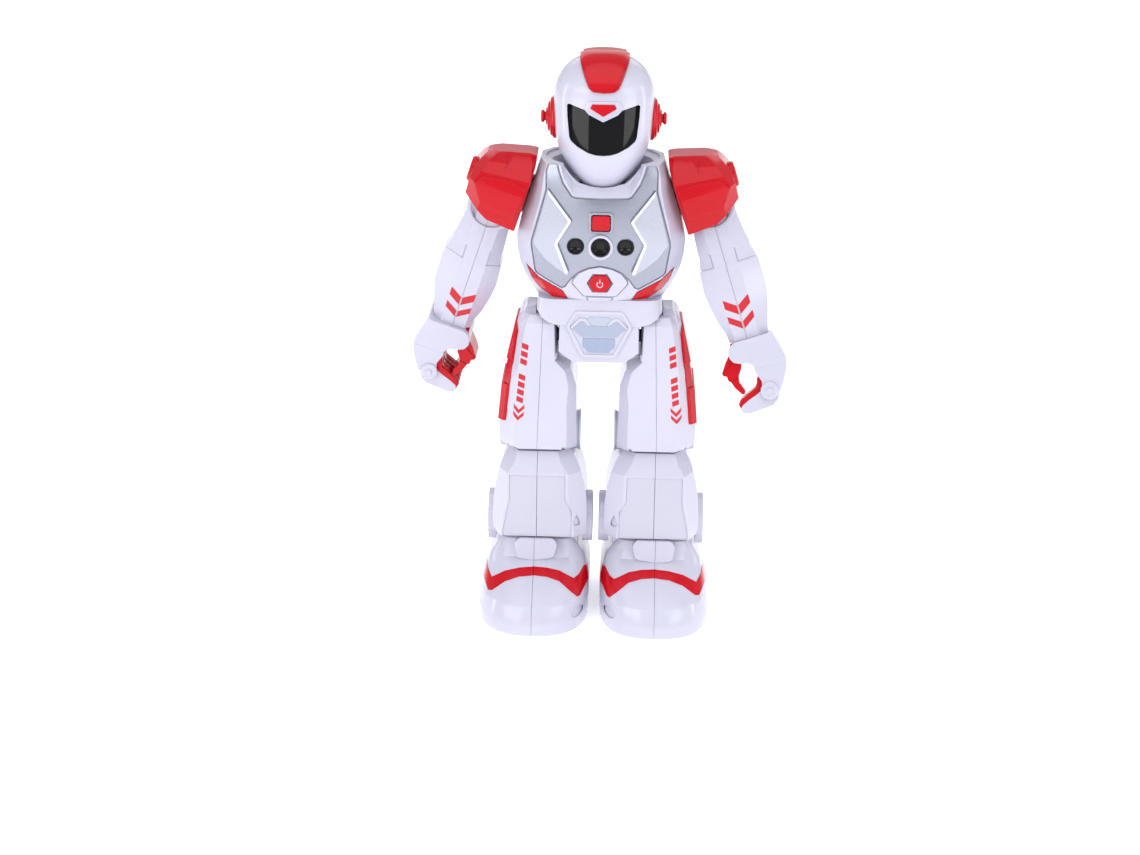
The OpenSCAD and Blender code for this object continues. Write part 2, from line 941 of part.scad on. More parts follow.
torso_front_shell();
torso_back_shell();
chest_plate();
belly_panel();
waist_accents();
chest_lenses();
lens_ring();
pelvis_front_shell();
pelvis_back_shell();
pelvis_emblem();
main_board();
battery_pack();
battery_cover();
speaker();
charge_socket();
leg_gearbox();
body_screws();
square_button();
power_button();
helmet_front();
helmet_back();
visor();
crest();
brow_gem();
ear_pods();
neck_post();
shoulder_pad(LEFT);  // left_shoulder_pad
shoulder_hub(LEFT);  // left_shoulder_hub
arm_outer(LEFT);  // left_arm_outer
arm_inner(LEFT);  // left_arm_inner
hand_shell(LEFT);  // left_hand_shell
thumb(LEFT);  // left_thumb
fingers(LEFT);  // left_fingers
finger_cover(LEFT);  // left_finger_cover
shoulder_pad(RIGHT);  // right_shoulder_pad
shoulder_hub(RIGHT);  // right_shoulder_hub
arm_outer(RIGHT);  // right_arm_outer
arm_inner(RIGHT);  // right_arm_inner
hand_shell(RIGHT);  // right_hand_shell
thumb(RIGHT);  // right_thumb
fingers(RIGHT);  // right_fingers
finger_cover(RIGHT);  // right_finger_cover
thigh_outer(LEFT);  // left_thigh_outer
thigh_inner(LEFT);  // left_thigh_inner
thigh_strip(LEFT);  // left_thigh_strip
shin_outer(LEFT);  // left_shin_outer
shin_inner(LEFT);  // left_shin_inner
boot_outer(LEFT);  // left_boot_outer
boot_inner(LEFT);  // left_boot_inner
boot_stripe(LEFT);  // left_boot_stripe
wheels(LEFT);  // left_wheels
thigh_outer(RIGHT);  // right_thigh_outer
thigh_inner(RIGHT);  // right_thigh_inner
thigh_strip(RIGHT);  // right_thigh_strip
shin_outer(RIGHT);  // right_shin_outer
shin_inner(RIGHT);  // right_shin_inner
boot_outer(RIGHT);  // right_boot_outer
boot_inner(RIGHT);  // right_boot_inner
boot_stripe(RIGHT);  // right_boot_stripe
wheels(RIGHT);  // right_wheels
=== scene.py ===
"""Walking humanoid robot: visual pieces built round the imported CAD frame."""
import json
from contextlib import contextmanager
from math import atan2, cos, hypot, pi, radians, sin

import bmesh
import bpy
from mathutils import Matrix, Quaternion, Vector


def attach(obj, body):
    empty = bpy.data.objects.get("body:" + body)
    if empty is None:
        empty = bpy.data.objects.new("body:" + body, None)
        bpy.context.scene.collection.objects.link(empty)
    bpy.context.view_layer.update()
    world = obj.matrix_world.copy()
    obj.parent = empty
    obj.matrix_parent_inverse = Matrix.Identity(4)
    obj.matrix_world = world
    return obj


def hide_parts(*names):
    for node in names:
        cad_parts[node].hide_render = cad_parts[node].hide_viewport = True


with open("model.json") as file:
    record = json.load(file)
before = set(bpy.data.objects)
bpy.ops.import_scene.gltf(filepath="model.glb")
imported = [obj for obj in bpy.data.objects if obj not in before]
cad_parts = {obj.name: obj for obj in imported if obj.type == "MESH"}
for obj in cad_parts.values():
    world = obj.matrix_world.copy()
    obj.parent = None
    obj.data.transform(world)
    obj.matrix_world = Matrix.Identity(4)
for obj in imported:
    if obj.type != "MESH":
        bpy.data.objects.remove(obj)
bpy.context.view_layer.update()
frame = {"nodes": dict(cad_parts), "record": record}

MM = 0.001
LEFT, RIGHT = 1, -1
SIDES = {"left": LEFT, "right": RIGHT}
JOINTS = {j["name"]: j for j in frame["record"]["behaviour"]["joints"]}
MID_Y = JOINTS["head_yaw"]["pos_m"][1]
EYE_SLOPE = 0.287  # how fast the camera's line of sight falls, per unit of depth

# ---------------------------------------------------------------- camera and light


def make_camera():
    """Camera in front of the robot and a little above it, with a long lens."""
    target = Vector((0, MID_Y, 0.128))
    distance, elevation, azimuth = 1.1, radians(16), radians(-0.6)
    line = Vector((sin(azimuth) * cos(elevation), cos(azimuth) * cos(elevation), -sin(elevation)))
    roll, pan, tilt = radians(1.15), radians(0.703), radians(-1.985)
    data = bpy.data.cameras.new("camera")
    data.sensor_width = 36
    data.lens = 75.16
    data.clip_start = 0.05
    camera = bpy.data.objects.new("camera", data)
    bpy.context.collection.objects.link(camera)
    camera.location = target - line * distance
    look = line.to_track_quat("-Z", "Y")
    turn = Quaternion((0, 0, 1), roll) @ Quaternion((0, 1, 0), pan) @ Quaternion((1, 0, 0), tilt)
    camera.rotation_mode = "QUATERNION"
    camera.rotation_quaternion = look @ turn
    bpy.context.scene.camera = camera


def add_lamp(name, kind, power):
    """Light of a kind, put in the scene: its object and its data."""
    data = bpy.data.lights.new(name, kind)
    data.energy = power
    lamp = bpy.data.objects.new(name, data)
    bpy.context.collection.objects.link(lamp)
    return lamp, data


def softbox(name, place, height, size, power):
    """Rectangular studio light that points at a height on the robot's axis."""
    lamp, data = add_lamp(name, "AREA", power)
    data.shape = "RECTANGLE"
    data.size, data.size_y = size
    lamp.location = place
    lamp.rotation_mode = "QUATERNION"
    lamp.rotation_quaternion = (Vector((0, 0, height)) - Vector(place)).to_track_quat("-Z", "Y")


def make_studio():
    """White floor, bright even surroundings and softboxes left, right and above."""
    scene = bpy.context.scene
    scene.view_settings.view_transform = "Standard"
    world = bpy.data.worlds.new("studio")
    scene.world = world
    world.use_nodes = True
    back = world.node_tree.nodes["Background"]
    back.inputs["Color"].default_value = (0.94, 0.95, 1.0, 1)
    back.inputs["Strength"].default_value = 0.56
    mesh = bpy.data.meshes.new("floor")
    half = 30.0
    mesh.from_pydata([(-half, -half, 0), (half, -half, 0), (half, half, 0), (-half, half, 0)],
                     [], [(0, 1, 2, 3)])
    floor = bpy.data.objects.new("floor", mesh)
    bpy.context.collection.objects.link(floor)
    mesh.materials.append(floor_paint())
    softbox("key", (-0.72, -0.95, 0.47), 0.19, (0.95, 0.42), 3.0)
    softbox("fill", (0.82, -0.84, 0.47), 0.19, (0.72, 0.42), 2.2)
    softbox("top", (0.0, -0.45, 1.3), 0.1, (1.3, 0.9), 1.3)
    lamp, data = add_lamp("ceiling", "SUN", 0.95)
    data.angle = radians(70)
    lamp.rotation_euler = (radians(24), 0, 0)
    softbox("rim", (0.0, 1.3, 0.9), 0.15, (1.2, 0.7), 2.0)
    for name, x in (("left_strip", -1.15), ("right_strip", 1.15)):
        softbox(name, (x, 0.1, 0.35), 0.17, (0.10, 0.9), 1.8)


# ---------------------------------------------------------------- materials


def new_material(name):
    """Empty Principled material, its node tree and the shader itself."""
    mat = bpy.data.materials.new(name)
    mat.use_nodes = True
    return mat, mat.node_tree, mat.node_tree.nodes["Principled BSDF"]


def set_inputs(node, values):
    """Constants on a node's inputs."""
    for key, value in values.items():
        node.inputs[key].default_value = value


def texture(tree, kind, values):
    """Texture in the object's own space, so that it stays on the piece as it moves."""
    where = tree.nodes.new("ShaderNodeTexCoord")
    tex = tree.nodes.new(kind)
    set_inputs(tex, values)
    tree.links.new(where.outputs["Object"], tex.inputs["Vector"])
    return tex.outputs


def noise(tree, scale, detail=3.0):
    """Grey value of a noise texture."""
    return texture(tree, "ShaderNodeTexNoise", {"Scale": scale, "Detail": detail})["Fac"]


def colour_from(tree, shader, source, low, high, span=(0.3, 0.7)):
    """Base colour that runs from low to high with a texture."""
    ramp = tree.nodes.new("ShaderNodeValToRGB")
    for element, place, tint in zip(ramp.color_ramp.elements, span, (low, high)):
        element.position = place
        element.color = (*tint, 1)
    tree.links.new(source, ramp.inputs["Fac"])
    tree.links.new(ramp.outputs["Color"], shader.inputs["Base Color"])


def gloss_from(tree, shader, source, low, high):
    """Roughness that runs from low to high with a texture."""
    node = tree.nodes.new("ShaderNodeMapRange")
    set_inputs(node, {"To Min": low, "To Max": high})
    tree.links.new(source, node.inputs["Value"])
    tree.links.new(node.outputs["Result"], shader.inputs["Roughness"])


def relief_from(tree, shader, height, strength, distance):
    """Fine surface relief from a texture."""
    bump = tree.nodes.new("ShaderNodeBump")
    set_inputs(bump, {"Strength": strength, "Distance": distance})
    tree.links.new(height, bump.inputs["Height"])
    tree.links.new(bump.outputs["Normal"], shader.inputs["Normal"])


def moulded(name, low, high, gloss, coat=0.0, grain=0.02, scatter=0.0, metallic=0.0, specular=0.5):
    """Injection-moulded plastic: slow colour drift, uneven gloss and faint orange peel."""
    mat, tree, shader = new_material(name)
    colour_from(tree, shader, noise(tree, 22), low, high)
    gloss_from(tree, shader, noise(tree, 160, 5), *gloss)
    relief_from(tree, shader, noise(tree, 1400, 2), grain, 0.0002)
    set_inputs(shader, {"IOR": 1.49, "Metallic": metallic, "Specular IOR Level": specular,
                        "Coat Weight": coat, "Coat Roughness": 0.06})
    if scatter:
        set_inputs(shader, {"Subsurface Weight": scatter, "Subsurface Scale": 0.002,
                            "Subsurface Radius": (1.0, 0.8, 0.9)})
    return mat


def silver_paint(name="silver_paint", low=(0.31, 0.325, 0.39), high=(0.40, 0.415, 0.485)):
    """Metallic lacquer: fine bright flakes in a grey base under a clear coat."""
    mat, tree, shader = new_material(name)
    flakes = texture(tree, "ShaderNodeTexVoronoi", {"Scale": 5200})
    colour_from(tree, shader, flakes["Color"], low, high, (0.1, 0.9))
    gloss_from(tree, shader, noise(tree, 60, 4), 0.22, 0.30)
    relief_from(tree, shader, flakes["Distance"], 0.03, 0.0001)
    set_inputs(shader, {"Metallic": 0.88, "Coat Weight": 0.3, "Coat Roughness": 0.10})
    return mat


def floor_paint():
    """Plain pale matte floor that glows a little, as it does under the photo's lamps."""
    mat, tree, shader = new_material("pale_floor")
    colour_from(tree, shader, noise(tree, 3, 2), (0.93, 0.93, 0.95), (0.95, 0.95, 0.97))
    set_inputs(shader, {"Roughness": 0.7, "Emission Color": (0.98, 0.98, 1.0, 1),
                        "Emission Strength": 0.46})
    return mat


PAINT = {
    "white": moulded("white_plastic", (0.565, 0.560, 0.670), (0.60, 0.595, 0.705), (0.18, 0.27),
                     coat=0.25, scatter=0.12),
    "red": moulded("red_plastic", (0.52, 0.003, 0.010), (0.57, 0.005, 0.014), (0.12, 0.19),
                   specular=0.28),
    "silver": silver_paint(),
    "visor_black": moulded("visor_black", (0.0015, 0.0015, 0.002), (0.003, 0.003, 0.0035),
                           (0.03, 0.06), grain=0.003, specular=0.34),
    "panel_grey": moulded("panel_grey", (0.36, 0.40, 0.52), (0.39, 0.43, 0.55), (0.25, 0.36),
                          coat=0.2),
    "mech_grey": moulded("mech_grey", (0.05, 0.05, 0.055), (0.08, 0.08, 0.085), (0.45, 0.6),
                         grain=0.15),
    "board": moulded("circuit_board", (0.01, 0.11, 0.04), (0.02, 0.20, 0.07), (0.3, 0.5)),
    "cells": moulded("cell_sleeve", (0.02, 0.06, 0.32), (0.03, 0.09, 0.42), (0.25, 0.4)),
    "screw_steel": moulded("screw_steel", (0.42, 0.42, 0.44), (0.60, 0.60, 0.62), (0.25, 0.4),
                           metallic=1.0),
    "wheel_rubber": moulded("wheel_rubber", (0.02, 0.02, 0.02), (0.04, 0.04, 0.04),
                            (0.6, 0.8), grain=0.3),
}
DECAL_RED = moulded("decal_red", (0.54, 0.008, 0.018), (0.60, 0.012, 0.024), (0.32, 0.42))
# Darker red for the shoulder hubs: painted shade, as the hub sits in the shade between the torso
# and the pad.
HUB_SHADE_RED = moulded("hub_painted_shade_red", (0.34, 0.004, 0.012), (0.40, 0.006, 0.016), (0.3, 0.4))
PANEL_PALE = moulded("panel_pale", (0.45, 0.48, 0.60), (0.48, 0.51, 0.63), (0.22, 0.32), coat=0.2)
PANEL_BLUE = moulded("panel_blue", (0.31, 0.365, 0.51), (0.34, 0.395, 0.54), (0.22, 0.32), coat=0.2)
# Near-white silver for the chest ridges: a painted highlight along the wings' inner edges.
HIGHLIGHT_SILVER = silver_paint("painted_highlight_silver", (0.80, 0.81, 0.88), (0.90, 0.91, 0.96))
# Lighter silver for the raised wings: painted light, so that the wings read brighter than the
# plate's middle.
LIT_WING_SILVER = silver_paint("wing_silver_painted_light", (0.43, 0.445, 0.52), (0.53, 0.545, 0.62))
# Satin white for the recessed shin panels: the higher roughness is the panel's own finish, and the
# slightly darker colour is painted shade of the recess.
SATIN_SHADED_WHITE = moulded("satin_white_painted_shade", (0.53, 0.525, 0.62), (0.56, 0.555, 0.65), (0.42, 0.55),
                      grain=0.12)

# ---------------------------------------------------------------- places
# A place is a matrix that takes a point in millimetres to the frame.


def trunk_place(side=LEFT):
    """The trunk's middle plane; on the right-hand side it is mirrored."""
    place = Matrix.Diagonal((side * MM, MM, MM, 1))
    place.translation = (0, MID_Y, 0)
    return place


def axes_place(x, y, z, at):
    """Place with the given axes and origin."""
    place = Matrix.Identity(4)
    for column, axis in enumerate((x, y, z)):
        for row in range(3):
            place[row][column] = axis[row] * MM
    place.translation = at
    return place


def pad_place(name):
    """Shoulder pad: x outwards along the shoulder axis, z up along the pad."""
    side, joint = SIDES[name], JOINTS[name + "_shoulder_turn"]
    x = Vector(joint["axis"]) * -side
    return axes_place(x, Vector((0, 1, 0)), Vector((-x.z * side, 0, abs(x.x))), joint["pos_m"])


def arm_place(name):
    """Arm as it stands: x outwards along the shoulder axis, z up along the arm."""
    side, joint = SIDES[name], JOINTS[name + "_shoulder_turn"]
    x = Vector(joint["axis"]) * -side
    y = Vector(JOINTS[name + "_finger_curl"]["axis"]) * -side
    z = Vector(JOINTS[name + "_wrist_twist"]["axis"])
    return axes_place(x, y, z, joint["pos_m"])


# ---------------------------------------------------------------- mesh tools
# Lengths in millimetres. Tools start and end well clear of the pieces that they cut.

AHEAD, BEHIND = -40, 40
CHEST_AHEAD = -45
OUTSIDE = (33, 60)
NUDGES = ((0, 0, 0), (2, 3, 1), (-3, 1, 2), (-7, -9, 8))  # thousandths
MERGE, CLEAN_MERGE = 0.002, 0.004
BAD_VOLUME = 10 ** 6


@contextmanager
def editing(mesh):
    """The mesh as a BMesh, which is written back at the end."""
    bm = bmesh.new()
    bm.from_mesh(mesh)
    yield bm
    bm.to_mesh(mesh)
    bm.free()


def mesh_object(name, verts, faces, place):
    """Closed mesh from points in millimetres, with its normals outwards."""
    mesh = bpy.data.meshes.new(name)
    mesh.from_pydata([place @ Vector(v) for v in verts], [], faces)
    obj = bpy.data.objects.new(name, mesh)
    bpy.context.collection.objects.link(obj)
    with editing(mesh) as bm:
        bmesh.ops.recalc_face_normals(bm, faces=bm.faces)
    return obj


def loft(name, rings, place):
    """Closed tube through rings of the same number of points."""
    count, many = len(rings[0]), len(rings)
    verts = [p for ring in rings for p in ring]
    faces = [(i * count + j, i * count + (j + 1) % count,
              (i + 1) * count + (j + 1) % count, (i + 1) * count + j)
             for i in range(many - 1) for j in range(count)]
    faces.append(tuple(range(count)))
    faces.append(tuple((many - 1) * count + j for j in range(count)))
    return mesh_object(name, verts, faces, place)


def pushed(name, verts, place):
    """Closed solid between two outlines, whose points follow each other in one list."""
    count = len(verts) // 2
    faces = [(j, (j + 1) % count, count + (j + 1) % count, count + j) for j in range(count)]
    faces += [tuple(range(count)), tuple(range(2 * count - 1, count - 1, -1))]
    return mesh_object(name, verts, faces, place)


def prism(outline, near, far, place, slope=0.0, level=0.0):
    """Outline in X and Z pushed along Y. With a slope it follows the line of sight, and the
    outline is true at the depth level."""
    return pushed("prism", [(x, y, z - slope * (y - level)) for y in (near, far)
                            for x, z in outline], place)


def side_prism(outline, near, far, place):
    """Outline in Y and Z pushed along X."""
    return pushed("side_prism", [(x, y, z) for x in (near, far) for y, z in outline], place)


def block(low, high, place):
    """Box between two corners."""
    outline = [(low[0], low[2]), (high[0], low[2]), (high[0], high[2]), (low[0], high[2])]
    return prism(outline, low[1], high[1], place)


def spun(profile, place, axis, centre=(0, 0, 0), count=48):
    """Solid of revolution. profile holds (radius, along) pairs from one end to the other."""
    rings = []
    for radius, along in profile:
        ring = []
        for k in range(count):
            a, r = 2 * pi * k / count, max(radius, 0.01)
            u, v = r * cos(a), r * sin(a)
            point = {"x": (along, u, v), "y": (u, along, v), "z": (u, v, along)}[axis]
            ring.append(tuple(c + d for c, d in zip(centre, point)))
        rings.append(ring)
    return loft("spun", rings, place)


def rod(radius, start, stop, place, axis, centre=(0, 0, 0), count=40):
    """Cylinder along an axis."""
    return spun([(radius, start), (radius, stop)], place, axis, centre, count)


def smooth_rows(rows, steps):
    """Rows with extra ones on a smooth curve between each pair."""
    out = []
    last = len(rows) - 1
    for i in range(last):
        a, b, c, d = (rows[max(i - 1, 0)], rows[i], rows[i + 1], rows[min(i + 2, last)])
        for s in range(steps):
            t = s / steps
            out.append([0.5 * (2 * q + (r - p) * t + (2 * p - 5 * q + 4 * r - u) * t * t
                               + (3 * q - p - 3 * r + u) * t ** 3)
                        for p, q, r, u in zip(a, b, c, d)])
    out.append(list(rows[last]))
    return out


def mirrored(points):
    """Points on the +X side, followed by their mirror images."""
    return list(points) + [(-x, z) for x, z in reversed(points) if abs(x) > 1e-6]


def settle(obj):
    """Applies the object's modifiers to its mesh."""
    graph = bpy.context.evaluated_depsgraph_get()
    mesh = bpy.data.meshes.new_from_object(obj.evaluated_get(graph))
    obj.modifiers.clear()
    old, obj.data = obj.data, mesh
    bpy.data.meshes.remove(old)
    return obj


def volume(mesh):
    """Signed volume of a closed mesh in cubic millimetres."""
    bm = bmesh.new()
    bm.from_mesh(mesh)
    size = bm.calc_volume(signed=True) / MM ** 3
    bm.free()
    return size


def flaws(mesh, least, most):
    """Number of edges that don't join exactly two faces; a wrong volume counts as very bad."""
    uses = {}
    for face in mesh.polygons:
        for edge in face.edge_keys:
            uses[edge] = uses.get(edge, 0) + 1
    bad = sum(1 for count in uses.values() if count != 2)
    return bad if least <= volume(mesh) <= most else bad + BAD_VOLUME


def carve(obj, tool, how="DIFFERENCE"):
    """Boolean of two closed meshes. Where faces that lie on each other spoil the result, the
    tool is nudged by a few thousandths of a millimetre and the best result is kept."""
    start, own, other = obj.data, volume(obj.data), volume(tool.data)
    slack = 0.002 * max(own, other) + 0.01
    least, most = {"DIFFERENCE": (max(own - other, 0.01) - slack, own + slack),
                   "INTERSECT": (0.01, min(own, other) + slack),
                   "UNION": (max(own, other) - slack, own + other + slack)}[how]
    best, fewest, already = None, None, flaws(start, 0, own + 1)
    for number, nudge in enumerate(NUDGES):
        tool.location = Vector(nudge) * 0.001 * MM
        obj.data = start.copy()
        step = obj.modifiers.new("carve", "BOOLEAN")
        step.operation = how
        step.solver = "EXACT"
        step.use_self = number > 0
        step.object = tool
        bpy.context.view_layer.update()
        settle(obj)
        with editing(obj.data) as bm:
            bmesh.ops.remove_doubles(bm, verts=bm.verts, dist=MERGE * MM)
        bad = flaws(obj.data, least, most)
        if fewest is None or bad < fewest:
            best, fewest = obj.data, bad
        if bad <= already:
            break
    obj.data = best
    bpy.data.objects.remove(tool, do_unlink=True)
    return obj


def cut(obj, *tools):
    """Takes tools away from an object, one after the other."""
    for tool in tools:
        carve(obj, tool)
    return obj


def add(obj, *tools):
    """Joins tools to an object, one after the other."""
    for tool in tools:
        carve(obj, tool, "UNION")
    return obj


def inlay(form, tool, core):
    """Part of a form inside a tool, with the form's core taken away."""
    return carve(carve(form, tool, "INTERSECT"), core)


def pocket(obj, tool, core):
    """Sinks a shape into an object down to a smaller form."""
    return carve(obj, carve(tool, core))


def clip_rows(rows, low, high):
    """Rows between two values of their first number, with new rows at the ends."""
    kept = [tuple(r) for r in rows if low <= r[0] <= high]
    for a, b in zip(rows, rows[1:]):
        for level in (low, high):
            if a[0] < level < b[0]:
                t = (level - a[0]) / (b[0] - a[0])
                kept.append(tuple(p + (q - p) * t for p, q in zip(a, b)))
    return sorted(kept)


def trim(obj, point, normal, place, reach=300):
    """Removes what lies beyond a plane given in millimetres."""
    along = Vector(normal).normalized()
    across = along.orthogonal().normalized()
    up = along.cross(across)
    rings = []
    for depth in (-reach, 0):
        ring = [Vector(point) + along * depth + across * u + up * v
                for u, v in ((-reach, -reach), (reach, -reach), (reach, reach), (-reach, reach))]
        rings.append([tuple(p) for p in ring])
    return carve(obj, loft("half_space", rings, place), "INTERSECT")


def copy_of(obj):
    """Independent copy of an object and its mesh."""
    twin = obj.copy()
    twin.data = obj.data.copy()
    bpy.context.collection.objects.link(twin)
    return twin


def halves(obj, point, normal, place, gap=0.07):
    """The two sides of an object cut at a seam: first the side that the normal points to."""
    near, far = obj, copy_of(obj)
    shift = Vector(normal) * gap
    trim(far, Vector(point) - shift, normal, place)
    trim(near, Vector(point) + shift, -Vector(normal), place)
    return near, far


def soften(obj, width, segments=3, angle=28):
    """Rounded edges, then smooth shading that keeps flat faces flat."""
    clean(obj)
    edge = obj.modifiers.new("edge", "BEVEL")
    edge.width = width * MM
    edge.segments = segments
    edge.limit_method = "ANGLE"
    edge.angle_limit = radians(angle)
    edge.use_clamp_overlap = True
    settle(obj)
    seal(obj)
    return shade(obj)


def seal(obj):
    """Fills small gaps that rounding left in a closed mesh."""
    with editing(obj.data) as bm:
        gaps = [e for e in bm.edges if e.is_boundary]
        if gaps:
            bmesh.ops.contextual_create(bm, geom=gaps)
            bmesh.ops.recalc_face_normals(bm, faces=bm.faces)


def clean(obj):
    """Merges points that a boolean left on top of each other and drops needless ones."""
    near = CLEAN_MERGE * MM
    with editing(obj.data) as bm:
        bmesh.ops.remove_doubles(bm, verts=bm.verts, dist=near)
        bmesh.ops.dissolve_degenerate(bm, edges=bm.edges, dist=near)
        bmesh.ops.dissolve_limit(bm, angle_limit=radians(0.6), verts=bm.verts, edges=bm.edges)
        bmesh.ops.holes_fill(bm, edges=[e for e in bm.edges if e.is_boundary], sides=0)


def hollow(obj):
    """Turns the two flat ends of a spun ring into one band that joins them."""
    with editing(obj.data) as bm:
        ends = [f for f in bm.faces if len(f.verts) > 8]
        loops = [e for f in ends for e in f.edges]
        bmesh.ops.delete(bm, geom=ends, context="FACES_ONLY")
        bmesh.ops.bridge_loops(bm, edges=[e for e in loops if e.is_valid])
        bmesh.ops.recalc_face_normals(bm, faces=bm.faces)
    return obj


def join(objects):
    """One object from several."""
    mesh = bpy.data.meshes.new("joined")
    bm = bmesh.new()
    for obj in objects:
        bm.from_mesh(obj.data)
        bpy.data.objects.remove(obj, do_unlink=True)
    bm.to_mesh(mesh)
    bm.free()
    joined = bpy.data.objects.new("joined", mesh)
    bpy.context.collection.objects.link(joined)
    return joined


def shade(obj):
    """Smooth shading except over sharp edges, weighted by face area."""
    obj.data.shade_smooth()
    obj.data.set_sharp_from_angle(angle=radians(34))
    even = obj.modifiers.new("even", "WEIGHTED_NORMAL")
    even.keep_sharp = True
    even.weight = 60
    return settle(obj)


def piece(obj, name, body, slot, *nodes, paint=None):
    """Names an object, paints it and makes it ride on its body in place of CAD nodes."""
    obj.name = name
    obj.data.materials.clear()
    obj.data.materials.append(paint or PAINT[slot])
    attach(obj, body)
    if nodes:
        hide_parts(*nodes)
    return obj


def shells(obj, seam, place, stem, body, *bevel):
    """Cuts a limb at its seam into an outer and an inner white shell."""
    for half, label in zip(halves(obj, *seam, place), ("_outer", "_inner")):
        piece(soften(half, *bevel), stem + label + "_shell", body, "white", stem + label)


def across(x):
    """Seam plane that faces outwards at some distance from the middle."""
    return (x, 0, 0), (1, 0, 0)


def grown(outline, by):
    """Outline moved outwards by a distance, each corner along its own bisector."""
    area = sum(a[0] * b[1] - b[0] * a[1] for a, b in zip(outline, outline[1:] + outline[:1]))
    sign = 1 if area > 0 else -1
    out = []
    for i, here in enumerate(outline):
        before, after = Vector(outline[i - 1]), Vector(outline[(i + 1) % len(outline)])
        u = (Vector(here) - before).normalized()
        v = (after - Vector(here)).normalized()
        normal = Vector((u.y + v.y, -u.x - v.x)) * sign
        size = max(normal.length, 0.6)
        out.append(tuple(Vector(here) + normal.normalized() * by * 2 / size))
    return out


def rounded_box(half_w, half_h, corner, z, steps=4):
    """Outline of a rectangle with round corners."""
    out = []
    for cx, cz, start in ((1, 1, 0), (-1, 1, 90), (-1, -1, 180), (1, -1, 270)):
        for k in range(steps + 1):
            a = radians(start + 90 * k / steps)
            out.append((cx * (half_w - corner) + corner * cos(a),
                        z + cz * (half_h - corner) + corner * sin(a)))
    return out


def hexagon(half_w, half_h, flat, z):
    """Flat-topped hexagon."""
    return [(half_w, z), (flat, z + half_h), (-flat, z + half_h), (-half_w, z),
            (-flat, z - half_h), (flat, z - half_h)]


def signed_power(value, power):
    """Power of a number that keeps its sign."""
    return abs(value) ** power * (1 if value >= 0 else -1)


def sided(outline, side):
    """Outline on the +X side, or its mirror image."""
    return [(side * x, z) for x, z in outline]


# ---------------------------------------------------------------- head

HEAD_ROWS = [
    # z, half width, front y, back y, squareness
    (206.2, 6.4, -18.6, -3.0, 2.2), (206.9, 8.6, -20.0, 0.0, 2.3), (209.4, 11.4, -21.8, 4.0, 2.4),
    (213.0, 14.6, -23.2, 8.0, 2.5), (218.8, 18.5, -24.4, 14.0, 2.6),
    (224.8, 20.9, -24.6, 18.6, 2.7), (234.0, 22.2, -24.2, 22.0, 2.7),
    (243.7, 22.5, -22.6, 23.0, 2.7), (248.4, 22.1, -21.4, 22.6, 2.6),
    (252.4, 20.6, -20.4, 21.2, 2.5), (256.6, 17.8, -17.2, 18.4, 2.4),
    (260.2, 13.2, -12.4, 13.8, 2.3), (262.4, 7.6, -6.8, 8.0, 2.2), (263.1, 2.0, -1.6, 2.4, 2.0),
]
VISOR = mirrored([
    (0, 236.3), (6.4, 239.4), (8.3, 241.4), (15.2, 243.5), (16.1, 242.9), (15.9, 238),
    (14.9, 229), (14.2, 227.4), (11.3, 225), (6.6, 222.5), (3.3, 221.6), (0, 221.3),
])
GLASS_ROWS = [
    (214, 18.6, -24.2, 12, 2.7), (219, 19.6, -23.8, 14, 2.7), (225, 20.4, -23.1, 16, 2.7),
    (231, 21.0, -22.3, 18, 2.7), (238, 21.3, -21.1, 18, 2.7), (246, 21.3, -19.6, 18, 2.7),
]
CREST = mirrored([(0, 248.5), (4.6, 248.9), (6.6, 250.3), (8.6, 254.6), (11.3, 261.6), (11.6, 270)])
CREST_FACE = mirrored([
    (0, 250.4), (3.8, 250.7), (5.2, 251.7), (7.0, 255.2), (9.6, 261.6), (9.8, 270),
])
GEM = mirrored([(0, 238.7), (5.9, 242.2), (4.9, 244.0)])
EAR = [
    # radius, distance from the middle of the head
    (9.8, 20.0), (9.8, 22.3), (9.2, 22.9), (8.9, 23.0), (8.6, 23.7), (7.1, 24.2), (6.8, 24.2),
    (6.5, 24.9), (4.5, 25.4), (4.1, 25.4), (3.8, 25.9), (2.0, 26.0), (2.0, 26.5), (2.7, 26.7),
    (2.9, 27.2), (2.7, 27.9), (2.0, 28.2), (0.6, 28.2),
]


def head_ring(row, grow, count=72):
    """Rounded-square ring round the head."""
    z, half, front, back, square = row
    half, depth = max(half + grow, 0.3), max((back - front) / 2 + grow, 0.3)
    ring = []
    for k in range(count):
        a = 2 * pi * k / count
        ring.append((half * signed_power(cos(a), 2 / square),
                     (front + back) / 2 + depth * signed_power(sin(a), 2 / square), z))
    return ring


def head_form(grow=0.0):
    """The helmet's closed form, grown outwards by so many millimetres."""
    middle, reach = 232, 31
    rows = smooth_rows(HEAD_ROWS, 4)
    for row in rows:
        row[0] += grow * (row[0] - middle) / reach
    return loft("head_form", [head_ring(r, grow) for r in rows], trunk_place())


def on_head(outline, lift, sink, near=AHEAD, far=-14):
    """Plate that follows the helmet's surface inside an outline."""
    return inlay(head_form(lift), prism(outline, near, far, trunk_place()), head_form(-sink))


def glass_form(grow):
    """Closed form whose front is the visor's curved face, which leans back towards the top."""
    return loft("glass_form", [head_ring(r, grow) for r in GLASS_ROWS], trunk_place())


